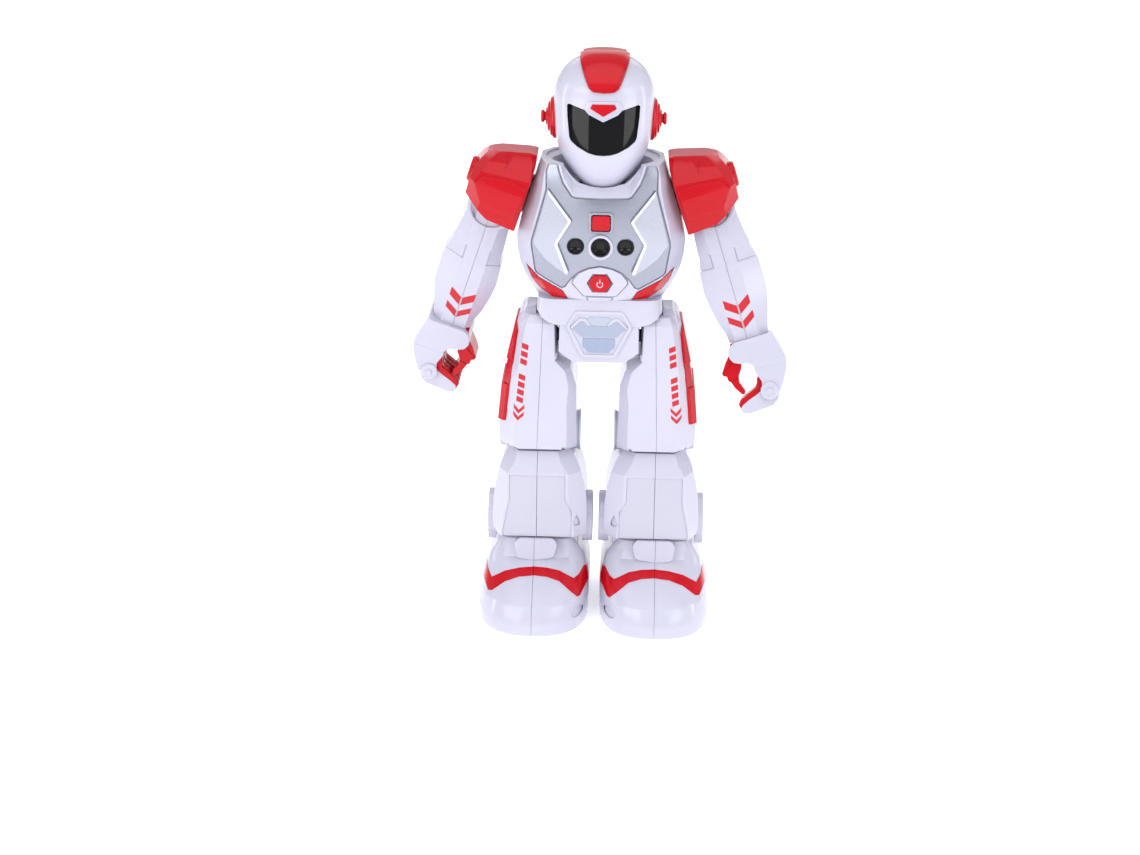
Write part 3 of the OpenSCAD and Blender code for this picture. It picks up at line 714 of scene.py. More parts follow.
def make_head():
    """Helmet in two halves, visor, crest, brow and ear pods."""
    place = trunk_place()
    wall, seat = 3.6, 0.5
    channel = cut(prism(CREST, -60, 60, place), head_form(-seat))
    opening = cut(prism(VISOR, AHEAD, -8, place), glass_form(-1.3))
    form = cut(head_form(), head_form(-wall), opening, channel)
    back, front = halves(form, (0, 1, 0), (0, 1, 0), place)
    piece(soften(front, 0.45, 3, 42), "helmet_face", "head", "white", "helmet_front")
    piece(soften(back, 0.45, 3, 42), "helmet_rear", "head", "white", "helmet_back")
    middle_z, larger = 232.6, 1.02
    inner = [(x * larger, middle_z + (z - middle_z) * larger) for x, z in VISOR]
    glass = inlay(glass_form(0), prism(inner, AHEAD, -14, place), glass_form(-1.25))
    piece(soften(glass, 0.3, 2, 42), "visor_lens", "head", "visor_black", "visor")
    crest = on_head([(x * 0.97, z + 0.3) for x, z in CREST], 1.1, 0.45, -60, 60)
    face = on_head(CREST_FACE, 1.75, -0.6, -60, 60)
    piece(soften(crest, 0.5, 3, 40), "crest_base", "head", "red", "crest")
    piece(soften(face, 0.45, 3, 40), "crest_face", "head", "red")
    border = [(x * 1.42, 240.9 + (z - 240.9) * 1.5 - 0.4) for x, z in GEM]
    piece(soften(on_head(border, 0.55, -0.02), 0.4, 3, 40), "brow", "head", "white")
    piece(soften(on_head(GEM, 1.0, 0.1), 0.35, 3, 40), "brow_jewel", "head", "red", "brow_gem")
    for name, side in SIDES.items():
        pod = spun(EAR, trunk_place(side), "x", (0, 0, 234.2), 56)
        nodes = ["ear_pods"] if side == LEFT else []
        piece(soften(pod, 0.18, 2, 25), name + "_ear_pod", "head", "red", *nodes)


# ---------------------------------------------------------------- torso

TORSO_ROWS = [
    # z, half width, crease x, front y, crease y, side front y, back y
    (153.6, 27.4, 19.5, -22.0, -18.6, -9.0, 17.0), (156.4, 29.3, 21.5, -23.6, -20.0, -10.0, 18.2),
    (159.8, 31.4, 24.0, -25.2, -21.0, -10.5, 19.4), (164.6, 34.0, 27.2, -26.8, -21.8, -11.0, 20.8),
    (170.0, 36.2, 29.4, -27.8, -22.2, -11.5, 21.8), (176.0, 37.5, 30.8, -28.4, -22.3, -12.0, 22.2),
    (182.4, 37.9, 31.4, -28.8, -22.3, -12.0, 22.4), (191.0, 36.0, 30.0, -28.8, -22.4, -12.0, 22.4),
    (199.0, 33.4, 27.8, -28.2, -22.8, -12.0, 22.2), (206.0, 31.0, 26.4, -27.2, -23.0, -12.0, 21.8),
    (212.0, 29.1, 25.8, -26.2, -22.8, -11.0, 21.0), (217.0, 27.5, 24.6, -25.0, -22.0, -9.0, 19.6),
]
NOTCH = mirrored([
    (0, 202.9), (11.6, 203.2), (12.9, 203.9), (16.8, 209.4), (18.6, 214), (20.6, 223),
])
PLATE = mirrored([
    (0, 202.3), (11.9, 202.6), (13.6, 203.4), (17.5, 208.9), (19.4, 214), (20.9, 219.6),
    (22.2, 220.2), (24.3, 214.2), (24.2, 205.5), (30.5, 182.4), (30.6, 180.6), (28.7, 168.6),
    (27.9, 167.6), (17.2, 161.6), (15.9, 162.2), (13.5, 166), (9.9, 169.5), (5.4, 171.7),
    (0, 172.7),
])
WING_EDGE = [
    (23.9, 206.4), (23.2, 205.4), (13.5, 193.4), (13.3, 192.4), (19.1, 182.7), (19.2, 181.8),
    (14.3, 169.6), (14.8, 168.2),
]
RAISED = WING_EDGE + [(19.8, 171.1), (25.2, 175.3), (29.9, 181.3), (29.8, 182.9)]
RIDGE = WING_EDGE + [(16.0, 169.0), (16.1, 170.2), (20.4, 181.6), (20.3, 183.0), (14.7, 192.3),
                     (14.8, 193.2), (23.6, 204.0)]
BELLY = mirrored([
    (0, 172.1), (5.2, 171.0), (9.3, 168.9), (12.0, 165.4), (12.2, 163.9), (7.2, 157.9),
])
TAB = mirrored([(6.3, 157.3), (4.6, 152.9)])
ACCENT = [(32.9, 169.4), (28.3, 165.9), (27.4, 165.2), (16.9, 159.6), (14.6, 155.8), (21.4, 156.1),
          (27.4, 159.6), (30.6, 163.4)]
SQUARE_Z, LENS_Z, LENS_X, POWER_Z = 192.3, 181.4, 11.1, 164.4


def torso_ring(row, grow):
    """Ring round the torso: a crowned front, two side facets and a flat back."""
    z, half, crease, front, crease_y, side_y, back = row
    steps = 6
    ring = []
    for k in range(-steps, steps + 1):
        share = k / steps
        ring.append((crease * share, front + (crease_y - front) * share ** 2 - grow, z))
    reach = half + grow
    ring += [(reach, side_y - 0.4 * grow, z), (reach, 8, z), (half - 5, back - 3 + grow, z),
             (half - 12, back + grow, z), (12 - half, back + grow, z),
             (5 - half, back - 3 + grow, z), (-reach, 8, z), (-reach, side_y - 0.4 * grow, z)]
    return ring


def torso_form(grow=0.0, low=0.0, high=999.0):
    """The torso's closed form between two heights, grown outwards by so many millimetres."""
    rows = clip_rows(TORSO_ROWS, low, high)
    return loft("torso_form", [torso_ring(r, grow) for r in rows], trunk_place())


def on_torso(outline, lift, sink, far=-10):
    """Plate that follows the torso's front inside an outline."""
    tool = prism(outline, CHEST_AHEAD, far, trunk_place())
    return inlay(torso_form(lift), tool, torso_form(-sink))


def torso_front_y(x, z):
    """Depth of the torso's front surface at a point of the front view."""
    for low, high in zip(TORSO_ROWS, TORSO_ROWS[1:]):
        if low[0] <= z <= high[0]:
            t = (z - low[0]) / (high[0] - low[0])
            crease, front, crease_y = (low[i] + (high[i] - low[i]) * t for i in (2, 3, 4))
            return front + (crease_y - front) * (x / crease) ** 2
    return TORSO_ROWS[-1][3]


def make_torso():
    """Two shells, the chest plate with its raised parts, the belly and the waist accents."""
    place = trunk_place()
    well = spun([(23.6, 203), (24.2, 206), (25.5, 216), (26.4, 230)], place, "z", count=72)
    form = cut(torso_form(), torso_form(-2.6, 156, 199.5), well,
               prism(NOTCH, CHEST_AHEAD, -10, place, -0.7, -27.4))
    accents = [sided(grown(ACCENT, 0.35), side) for side in (LEFT, RIGHT)]
    for outline, depth in ((grown(PLATE, 0.75), 1.3), (grown(BELLY, 0.5), 0.9), (TAB, 0.8),
                           (accents[0], 0.7), (accents[1], 0.7)):
        pocket(form, prism(outline, CHEST_AHEAD, -14, place), torso_form(-depth))
    for name in SIDES:
        cut(form, rod(9.9, -15.2, 0, pad_place(name), "x", count=48))
    back, front = halves(form, (0, -2, 0), (0, 1, 0), place)
    piece(soften(front, 0.55, 3, 24), "torso_front", "trunk", "white", "torso_front_shell")
    dress_back(back, place)
    plate = on_torso(PLATE, 0.25, 1.2)
    for x, radius in ((LENS_X, 3.9), (-LENS_X, 3.9), (0, 5.6)):
        cut(plate, rod(radius, -40, -10, place, "y", (x, 0, LENS_Z)))
    cut(plate, prism(rounded_box(4.6, 4.0, 1.0, SQUARE_Z), CHEST_AHEAD, -10, place))
    piece(soften(plate, 0.5, 3, 24), "chest_panel", "trunk", "silver", "chest_plate")
    for name, side in SIDES.items():
        # The ridges are painted near-white silver as a highlight along the wings' edges.
        ridge = on_torso(sided(RIDGE, side), 1.95, -0.6)
        piece(soften(ridge, 0.5, 3, 24), name + "_chest_ridge", "trunk", "silver",
              paint=HIGHLIGHT_SILVER)
        # The wings are painted a lighter silver than the plate: painted light.
        wing = on_torso(sided(RAISED, side), 1.5, -0.1)
        piece(soften(wing, 0.9, 3, 24), name + "_chest_wing", "trunk", "silver", paint=LIT_WING_SILVER)
        accent = on_torso(sided(ACCENT, side), 0.35, 0.65, -9)
        nodes = ["waist_accents"] if side == LEFT else []
        piece(soften(accent, 0.3, 2, 24), name + "_waist_accent", "trunk", "red", *nodes)
    belly = cut(on_torso(BELLY, 0.9, 0.85),
                prism(hexagon(5.9, 4.5, 3.3, POWER_Z), CHEST_AHEAD, -10, place))
    piece(soften(belly, 0.45, 3, 24), "belly_arch", "trunk", "white", "belly_panel")
    piece(soften(on_torso(grown(TAB, -0.35), 0.0, 0.75), 0.3, 2, 24), "belly_tab", "trunk", "white")
    make_collar(place)
    make_buttons(place)
    make_lenses(place)


# Degrees away from straight ahead, with the collar's top, its outer radius and its raised lip.
COLLAR_TOPS = [
    (0, 204.8), (14, 205.4), (28, 207.2), (36, 211.0), (43, 215.6), (47, 216.2), (180, 216.2),
]
COLLAR_EDGES = [(0, 24.5), (36, 24.5), (43, 25.8), (180, 25.8)]
COLLAR_LIPS = [(0, 1.7), (20, 1.6), (34, 0.8), (47, 0.0), (180, 0.0)]


def between(pairs, at):
    """Value at a point of a broken line through (place, value) pairs."""
    for (a, low), (b, high) in zip(pairs, pairs[1:]):
        if at <= b:
            return low + (high - low) * max(at - a, 0) / (b - a)
    return pairs[-1][1]


def helmet_reach(ring, azimuth, swing=33):
    """Distance from the neck axis that the turning helmet needs in one direction."""
    far = 0.0
    for x, y, _ in ring:
        turn = abs(azimuth - atan2(x, -y) * 180 / pi)
        if min(turn, 360 - turn) <= swing:
            far = max(far, hypot(x, y))
    return far


def make_collar(place):
    """Bowl inside the torso's neck opening that leaves just the room the turning helmet needs."""
    rows = [r for r in smooth_rows([list(r) for r in HEAD_ROWS], 4) if r[0] < 219]
    rings = [(r[0], head_ring(r, 0, 240)) for r in rows]
    sections, low, levels = [], 202.6, 9
    for k in range(96):
        azimuth = 360 * k / 96
        reach = [(z, helmet_reach(ring, azimuth)) for z, ring in rings]
        off = min(azimuth, 360 - azimuth)
        top = between(COLLAR_TOPS, off)
        edge = between(COLLAR_EDGES, off)
        profile = [(edge, low), (edge, top)]
        top += between(COLLAR_LIPS, off)
        for step in range(levels, -1, -1):
            z = low + (top - low) * step / levels
            profile.append((min(max(between(reach, z + 0.6) + 0.9, 10.5), edge - 0.3), z))
        a = radians(azimuth)
        sections.append([(r * sin(a), -r * cos(a), z) for r, z in profile])
    count, many = len(sections[0]), len(sections)
    faces = [(i * count + j, i * count + (j + 1) % count, (i + 1) % many * count + (j + 1) % count,
              (i + 1) % many * count + j) for i in range(many) for j in range(count)]
    bowl = mesh_object("collar_bowl", [p for s in sections for p in s], faces, place)
    piece(shade(bowl), "collar_bowl", "trunk", "white")


def dress_back(back, place):
    """Back shell with a ribbed battery door, a speaker grille and a socket."""
    door_z, socket_z = 180.5, 160
    cut(back, prism(rounded_box(20.4, 17.9, 2.5, door_z), 20.6, BEHIND, place),
        rod(3.7, 0, 40, place, "y", (0, 0, socket_z)))
    for row in range(4):
        for x in range(-3, 4):
            cut(back, rod(0.9, 18, 40, place, "y", (x * 3.2, 0, 203.6 + row * 2.9), 12))
    piece(soften(back, 0.5, 3, 26), "torso_back", "trunk", "white", "torso_back_shell")
    cover = prism(rounded_box(20.0, 17.5, 2.3, door_z), 20.8, 23.4, place)
    for k in range(7):
        cut(cover, prism(rounded_box(11, 0.6, 0.4, 168 + 2.3 * k, 2), 22.8, 30, place))
    cut(cover, prism(rounded_box(5, 1.6, 1.5, 192), 22.4, 30, place))
    piece(soften(cover, 0.4, 3, 30), "battery_door", "trunk", "white", "battery_cover")


def make_buttons(place):
    """Square chest button in its bezel, and hexagonal power button with its symbol."""
    y = torso_front_y(0, SQUARE_Z)
    cap = prism(rounded_box(3.9, 3.3, 0.7, SQUARE_Z), y - 1.5, y + 1.3, place)
    piece(soften(cap, 0.45, 4, 30), "square_cap", "square_button", "red", "square_button")
    bezel = cut(prism(rounded_box(5.6, 4.8, 1.6, SQUARE_Z), y - 1.2, y + 2, place),
                prism(rounded_box(4.25, 3.65, 0.9, SQUARE_Z), y - 5, y + 5, place))
    piece(soften(bezel, 0.5, 4, 30), "button_bezel", "trunk", "silver")
    y = torso_front_y(0, POWER_Z)
    cap = prism(hexagon(5.2, 3.8, 2.8, POWER_Z), y - 1.6, y + 1.3, place)
    piece(soften(cap, 0.5, 4, 30), "power_cap", "power_button", "red", "power_button")
    ring, radius, thin, low = [], 1.5, 0.72, 0.3
    for k in range(25):
        a = radians(128 + 284 * k / 24)
        ring.append((radius * cos(a), POWER_Z - low + radius * sin(a)))
    inner = [(thin * x, POWER_Z - low + thin * (z - POWER_Z + low)) for x, z in reversed(ring)]
    for name, shape in (("power_ring", ring + inner),
                        ("power_bar", rounded_box(0.22, 0.95, 0.2, POWER_Z + 1.1))):
        piece(shade(prism(shape, y - 1.66, y - 1.3, place)), name, "power_button", "white")


def make_lenses(place):
    """Centre lens in a white ring, and a sensor with a silver rim on each side."""
    y = torso_front_y(0, LENS_Z)
    ring = hollow(spun([(5.6, 2), (5.6, -1.5), (5.2, -2.1), (4.6, -2.1), (4.3, -1.6), (4.25, 2)],
                       place, "y", (0, y, LENS_Z), 56))
    piece(soften(ring, 0.15, 2, 30), "centre_lens_ring", "trunk", "white", "lens_ring")
    lens = [(4.2, 2), (4.2, -1.4), (3.9, -1.7), (3.5, -1.5), (3.1, -0.6), (2.9, -0.5), (2.5, -0.4),
            (2.2, 0.3), (1.2, 0.6), (0.2, 0.6)]
    centre = spun(lens, place, "y", (0, y, LENS_Z))
    piece(soften(centre, 0.08, 2, 25), "centre_lens", "trunk", "visor_black", "chest_lenses")
    at = (LENS_X, torso_front_y(LENS_X, LENS_Z), LENS_Z)
    lens = [(3.6, 2), (3.6, -0.5), (3.3, -0.8), (3.0, -0.7), (2.7, 0.0), (1.5, 0.5), (0.2, 0.6)]
    rim = [(4.0, 2), (4.0, -0.55), (3.8, -0.8), (3.6, -0.55), (3.55, 2)]
    for name, side in SIDES.items():
        eye = spun(lens, trunk_place(side), "y", at, 40)
        piece(soften(eye, 0.08, 2, 25), name + "_sensor", "trunk", "visor_black")
        band = hollow(spun(rim, trunk_place(side), "y", at, 40))
        piece(shade(band), name + "_sensor_rim", "trunk", "silver")


# ---------------------------------------------------------------- pelvis

SKIRT = mirrored([
    (0, 155.5), (28.6, 155.5), (28.4, 149.4), (26.2, 146.6), (22.3, 144.5), (18.6, 143.5),
    (0, 143.5),
])
SHIELD = mirrored([
    (0, 154.6), (11.9, 154.6), (17.7, 146.2), (18.1, 131.0), (11.6, 126.2), (0, 126.2),
])
EMBLEM = mirrored([
    (0, 150.4), (10.4, 150.4), (11.2, 149.7), (14.6, 143.9), (14.6, 142.6), (8.0, 129.6),
    (6.9, 128.7), (0, 128.7),
])
CREST_PANEL = mirrored([(0, 147.8), (4.3, 147.8), (5.8, 146.1), (4.2, 144.5), (0, 144.5)])
WINGS = mirrored([(0, 143.6), (4.6, 143.6), (6.8, 145.8), (8.4, 145.9), (12.0, 142.3), (7.9, 138.4),
                  (0, 138.4)])
RIB = [
    (3.6, 143.9), (4.5, 143.5), (6.9, 145.7), (8.4, 145.8), (12.1, 142.2), (13.1, 142.8),
    (8.9, 147.2), (6.1, 147.1),
]
BLOCK = mirrored([(0, 137.8), (7.3, 137.8), (7.3, 133.9), (4.6, 131.1), (0, 131.1)])
HIP_Z = 133


def cut_ring(z, x0, x1, y0, y1, inner, outer, deep_in, deep_out, back=5):
    """Ring round a block whose four upright edges are cut off. The front face runs from inner
    to outer, and each front cut reaches so far back."""
    return [(inner, y0, z), (outer, y0, z), (x1, y0 + deep_out, z), (x1, y1 - back, z),
            (x1 - back, y1, z), (x0 + back, y1, z), (x0, y1 - back, z), (x0, y0 + deep_in, z)]


def make_pelvis():
    """Skirt with a shield in front, cut into two shells, and the emblem on the shield."""
    place = trunk_place()
    belt = [[(x, y, z) for x, y in rounded_box(half, (back - front) / 2, 7, (front + back) / 2, 5)]
            for z, half, front, back in ((141, 28.4, -23.2, 19.6), (150, 28.5, -23.4, 19.8),
                                         (155.4, 28.0, -22.6, 19.0))]
    skirt = carve(loft("skirt", belt, place), prism(SKIRT, AHEAD, BEHIND, place), "INTERSECT")
    cut(skirt, block((-40, -20.4, 130), (40, 17.3, 148.6), place),
        block((-26.4, -20.4, 130), (26.4, 17.3, 151.6), place))
    core = loft("core", [cut_ring(124.8, -12.5, 12.5, -14, 12, -10, 10, 3, 3, 3),
                         cut_ring(127.4, -18.2, 18.2, -20, 17, -14.5, 14.5, 4, 4, 4),
                         cut_ring(146.2, -18.2, 18.2, -20.4, 17.3, -15, 15, 4, 4, 4)], place)
    add(core, block((-27.5, -8, 145.9), (27.5, 8, 153.2), place))
    shield = cut(prism(SHIELD, -22.6, -15, place), rod(14, -60, 60, place, "y", (0, 0, 104), 8))
    add(skirt, core, shield)
    for side in (LEFT, RIGHT):
        cut(skirt, rod(4.2, 15, 40, trunk_place(side), "x", (0, 0, HIP_Z)))
    back, front = halves(skirt, (0, 0, 0), (0, 1, 0), place)
    piece(soften(front, 0.5, 3, 26), "pelvis_front", "trunk", "white", "pelvis_front_shell")
    piece(soften(back, 0.5, 3, 26), "pelvis_back", "trunk", "white", "pelvis_back_shell")
    border = cut(prism(EMBLEM, -24.0, -20, place), prism(grown(EMBLEM, -1.5), -30, -23.2, place))
    piece(soften(border, 0.45, 3, 26), "emblem_frame", "trunk", "white")
    for name, outline, top, nodes, paint in (
            ("emblem_crest", CREST_PANEL, -23.6, [], PANEL_PALE),
            ("emblem_wings", WINGS, -23.7, ["pelvis_emblem"], None),
            ("emblem_block", BLOCK, -23.5, [], PANEL_BLUE)):
        panel = prism(outline, top, -21, place)
        piece(soften(panel, 0.25, 2, 26), name, "trunk", "panel_grey", *nodes, paint=paint)
    for name, side in SIDES.items():
        rib = prism(sided(RIB, side), -24.0, -21, place)
        piece(soften(rib, 0.3, 3, 26), name + "_emblem_rib", "trunk", "white")


# ---------------------------------------------------------------- shoulders and arms

PAD_ROWS = [
    # z, inner w, outer w, half depth, front from w, front to w, cut depth
    (-15.8, -12.2, 13.2, 17.5, -11.6, 7.0, 7.0), (-6.2, -12.2, 14.0, 21.6, -11.2, 6.5, 8.5),
    (2.0, -12.2, 14.4, 22.0, -11.6, 12.2, 4.5), (8.0, -12.2, 13.8, 20.8, -12.0, 10.2, 6.5),
    (13.2, -12.0, 12.2, 16.4, -10.6, 8.6, 6.0), (16.6, -11.2, 10.2, 11.0, -8.8, 6.2, 4.0),
    (17.4, -9.8, 8.6, 9.0, -7.2, 5.0, 3.4),
]
PAD_ROOM = [(-20, -10.1, 12.0, 16.0, -9, 6, 5), (-6, -10.1, 12.0, 19.2, -9, 6, 6),
            (7.6, -10.1, 12.0, 18.4, -9, 8, 6), (13.2, -9, 9, 11, -7, 5, 5)]
PAD_FACET = [
    (-11.0, 6.6), (-0.4, 7.0), (9.0, 5.2), (11.7, 1.4), (9.6, -1.2), (3.6, -8.0), (-10.6, -9.6),
]
PAD_RIM = [(-30, -15.0), (-12.4, -14.8), (1.5, -13.6), (13.6, -6.2), (30, 4), (30, -60), (-30, -60)]
ARM_ROWS = [
    # distance down the arm, inner w, outer w, half depth
    (0, -9.4, 11.0, 9.0), (13, -9.6, 11.0, 9.2), (20, -10.2, 11.6, 9.6), (28, -10.8, 13.1, 10.2),
    (29.6, -10.6, 12.9, 10.0), (35.2, -11.8, 14.5, 10.5), (36.6, -12.3, 14.9, 10.9),
    (45, -12.9, 15.1, 11.4), (51, -12.3, 14.9, 11.0), (59, -10.8, 13.0, 10.2),
    (66, -8.5, 10.9, 9.2), (70.3, -8.1, 9.9, 8.6),
]
BOSS = [(11.2, -9.8), (10.9, -10.3), (9.6, -10.3), (9.2, -9.9), (9.2, -8), (11.2, -8)]
CHEVRONS = [
    [(0.45, -58.9), (6.0, -55.0), (6.0, -50.9), (0.45, -54.7)],
    [(0.45, -65.6), (6.0, -61.6), (6.0, -58.4), (0.45, -62.2)],
]
PALM = [(9.4, -70.3), (11.6, -69.6), (13.0, -74.5), (14.9, -83.4), (14.5, -84.2), (0.2, -84.2),
        (-0.7, -82.6), (-2.2, -81.2), (-6.2, -80.2), (-8.6, -79.1), (-9.9, -76.7), (-9.8, -73.8),
        (-8.2, -71.5), (-5.6, -70.4)]
CHEEK = [
    (-0.2, -83), (-0.3, -86), (1.3, -90.6), (0.4, -94.2), (1.4, -97.6), (3.7, -99.1), (6.6, -98.2),
    (8.6, -96.4), (10.6, -93.6), (12.8, -89.4), (14.2, -86.3), (14.6, -83),
]
THUMB = [
    (-1.5, -70.7), (-8.0, -70.8), (-9.5, -75.0), (-12.4, -78.4), (-15.1, -82.5), (-14.7, -83.9),
    (-13.4, -84.4), (-13.2, -86.6), (-12.2, -87.4), (-11.2, -90.4), (-8.8, -94.1), (-7.7, -94.2),
    (-7.0, -92.8), (-8.7, -88.2), (-8.1, -85.6), (-6.0, -82.6), (-5.0, -78.5),
]
FINGER = [
    (2.8, -88.6), (-0.4, -88.2), (-1.0, -90.4), (-2.2, -92.6), (-6.6, -94.6), (-10.2, -96.2),
    (-11.7, -98.0), (-11.4, -99.8), (-9.6, -101.2), (-6.0, -101.4), (3.6, -101.0), (6.4, -98.6),
    (7.0, -95.4), (5.6, -92.4),
]
COVER = [(4.4, -92.9), (0.4, -94.3), (-2.4, -95.7), (-6.6, -97.2), (-10.2, -98.9), (-11.3, -100.6),
         (-10.4, -102.4), (-7.6, -103.3), (3.4, -102.5), (6.6, -100.2), (7.2, -96.0)]
DISC = [(4.0, 10.8), (4.0, 11.7), (3.6, 12.1), (1.5, 12.1), (1.3, 12.9), (0.9, 13.2), (0.3, 13.2)]
GUARD_ROOM = [(-14, -90), (12, -88), (12, -99.0), (4.0, -101.2), (-7.2, -102.0), (-9.6, -101.4),
              (-12.4, -99.4)]
KNUCKLE = (3.5, 0, -95.5)


def make_shoulder(name):
    """Red pad with a faceted front, its cap, and the hub between the torso and the arm."""
    place, body = pad_place(name), name + "_shoulder"
    facet = inlay(pad_form(name, 0.7), prism(PAD_FACET, AHEAD, -10, place), pad_form(name, -0.6))
    pad = add(pad_form(name), soften(facet, 0.35, 2, 24))
    pocket(pad, prism([(-3.4, 25), (0.2, 11.0), (3.8, 25)], AHEAD, 0, place), pad_form(name, -0.5))
    cut(pad, loft("pad_room", [pad_ring(r, 0) for r in PAD_ROOM], place),
        prism(PAD_RIM, -60, 60, place), rod(4.9, -30, 30, place, "x"))
    piece(soften(pad, 1.4, 4, 20), name + "_pad", body, "red", body + "_pad")
    cap = spun([(6.0, 12.5), (6.0, 14.6), (5.4, 15.6), (4.4, 15.8), (3.9, 15.4), (0.5, 15.4)],
               place, "x", (0, 0, 2.5), 40)
    piece(soften(cap, 0.3, 3, 26), name + "_pad_cap", body, "red")
    # The hub is painted a darker red than the pad: painted shade between the torso and the pad.
    hub = spun([(4.0, -19), (5.0, -18.6), (5.0, -14.3), (8.8, -14.3), (9.0, -14.0), (9.0, -12.5),
                (8.6, -12.2), (5.0, -12.2), (5.0, 13.6), (4.6, 14.0)], place, "x")
    piece(soften(hub, 0.2, 2, 26), name + "_hub", body, "red", body + "_hub", paint=HUB_SHADE_RED)


def pad_ring(row, grow):
    """Ring round a shoulder pad. The torso side is flat, the outer corners are cut and the top
    leans so that it is level on the sloping arm."""
    z, w0, w1, deep, start, stop, cut_depth = row
    w0, w1, deep = w0 - grow, w1 + grow, deep + grow
    ring = [(start, -deep), (stop, -deep), (w1, cut_depth - deep), (w1, deep - cut_depth),
            (stop, deep), (start, deep), (w0, deep - 1.5), (w0, 1.5 - deep)]
    start_z, full_z, slope = 4, 16, 0.27
    lean = slope * min(max((z - start_z) / (full_z - start_z), 0), 1)
    return [(w, y, z - lean * w) for w, y in ring]


def pad_form(name, grow=0.0):
    """The shoulder pad's closed form, grown outwards by so many millimetres."""
    return loft("pad", [pad_ring(r, grow) for r in PAD_ROWS], pad_place(name))


def arm_form(name, grow=0.0, top=0.0, low=70.3):
    """The arm's closed form between two distances down the arm."""
    rings = []
    for down, w0, w1, deep in clip_rows(ARM_ROWS, top, low):
        w0, w1, front = w0 - grow, w1 + grow, deep + grow
        rings.append([(w, y, -down) for w, y in (
            (-5.5, -front), (6.0, -front), (w1, 4.6 - deep), (w1, deep - 4.6), (6.0, front),
            (-5.5, front), (w0, deep - 4.0), (w0, 4.0 - deep))])
    return loft("arm", rings, arm_place(name))


def make_arm(name):
    """Two shells with a jointed-looking sleeve, a round boss under the pad and red chevrons."""
    place, body = arm_place(name), name + "_arm"
    arm = add(arm_form(name), rod(11.8, -9.2, 10.8, place, "x", count=56),
              hollow(spun(BOSS, place, "y", (0.6, 0, -8.6), 56)))
    cut(arm, rod(5.5, -30, 30, place, "x"))
    for outline in sleeve_grooves():
        pocket(arm, prism(outline, AHEAD, BEHIND, place), arm_form(name, -0.55))
    cut(arm, arm_form(name, -2.0, 14.5, 68.2), rod(4.5, -80, -60, place, "z", (1, 0, 0)))
    shells(arm, across(0.2), place, body, body, 0.5, 3, 22)
    for number, shape in enumerate(CHEVRONS, 1):
        for label, flip in (("a", 1), ("b", -1)):
            outline = [(0.2 + flip * (w - 0.1), z) for w, z in shape]
            tool = prism(outline, AHEAD, 0, place)
            mark = inlay(arm_form(name, 0.05), tool, arm_form(name, -0.3))
            piece(shade(mark), f"{name}_arm_chevron_{number}{label}", body, "red", paint=DECAL_RED)


def sleeve_grooves():
    """L-shaped grooves in the sleeve: down at each side of the middle, then out to the edge."""
    wide = 0.4
    for flip, at in ((1, 5.7), (-1, 5.3)):
        yield [(flip * at, -29.2), (flip * (at + wide), -29.2), (flip * (at + wide), -36.0),
               (flip * at, -36.0)]
        yield [(flip * at, -35.6), (flip * 17, -35.0), (flip * 17, -35.4), (flip * at, -36.0)]


def make_hand(name):
    """Hand shell with a rounded lobe, knuckle cheeks, thumb, four fingers and their cover."""
    place, body, row_body = arm_place(name), name + "_hand", name + "_finger_set"
    palm = add(prism(PALM, -11.4, 11.4, place), rod(4.0, -71, -65.5, place, "z", (1, 0, 0)))
    cheek = cut(prism(CHEEK, -11.0, 11.0, place), rod(8.8, -9.5, 9.5, place, "y", KNUCKLE, 48))
    add(soften(palm, 2.3, 5, 30), soften(cheek, 0.5, 3, 30))
    piece(shade(palm), name + "_hand_shell_cover", body, "white", body + "_shell")
    for label, flip in (("front", -1), ("back", 1)):
        disc = spun([(radius, flip * y) for radius, y in DISC], place, "y", KNUCKLE, 40)
        piece(soften(disc, 0.15, 2, 26), f"{name}_knuckle_{label}", body, "white")
    thumb = prism(THUMB, -8.2, 4.2, place)
    for w, z, turn in ((-11.5, -80.6, 35), (-10.7, -86.9, 12)):
        along = Vector((cos(radians(turn)), sin(radians(turn))))
        side = Vector((-along.y, along.x)) * 0.22
        start, stop = Vector((w, z)) - along * 7, Vector((w, z)) + along * 7
        slit = [tuple(p) for p in (start - side, stop - side, stop + side, start + side)]
        cut(thumb, prism(slit, -12, -7.7, place))
    piece(soften(thumb, 0.7, 3, 30), name + "_thumb_shell", body, "red", name + "_thumb")
    middles = [(k - 1.5) * 4.5 for k in range(4)]
    fingers = [soften(prism(FINGER, y - 2.1, y + 2.1, place), 0.75, 3, 30) for y in middles]
    fingers.append(rod(1.5, -9.3, 9.3, place, "y", KNUCKLE, 24))
    piece(join(fingers), name + "_finger_row", row_body, "red", name + "_fingers")
    cover = cut(prism(COVER, -9.4, 9.4, place), prism(GUARD_ROOM, -8.7, 8.7, place))
    piece(soften(cover, 0.55, 3, 30), name + "_finger_guard", row_body, "white",
          name + "_finger_cover")


# ---------------------------------------------------------------- legs

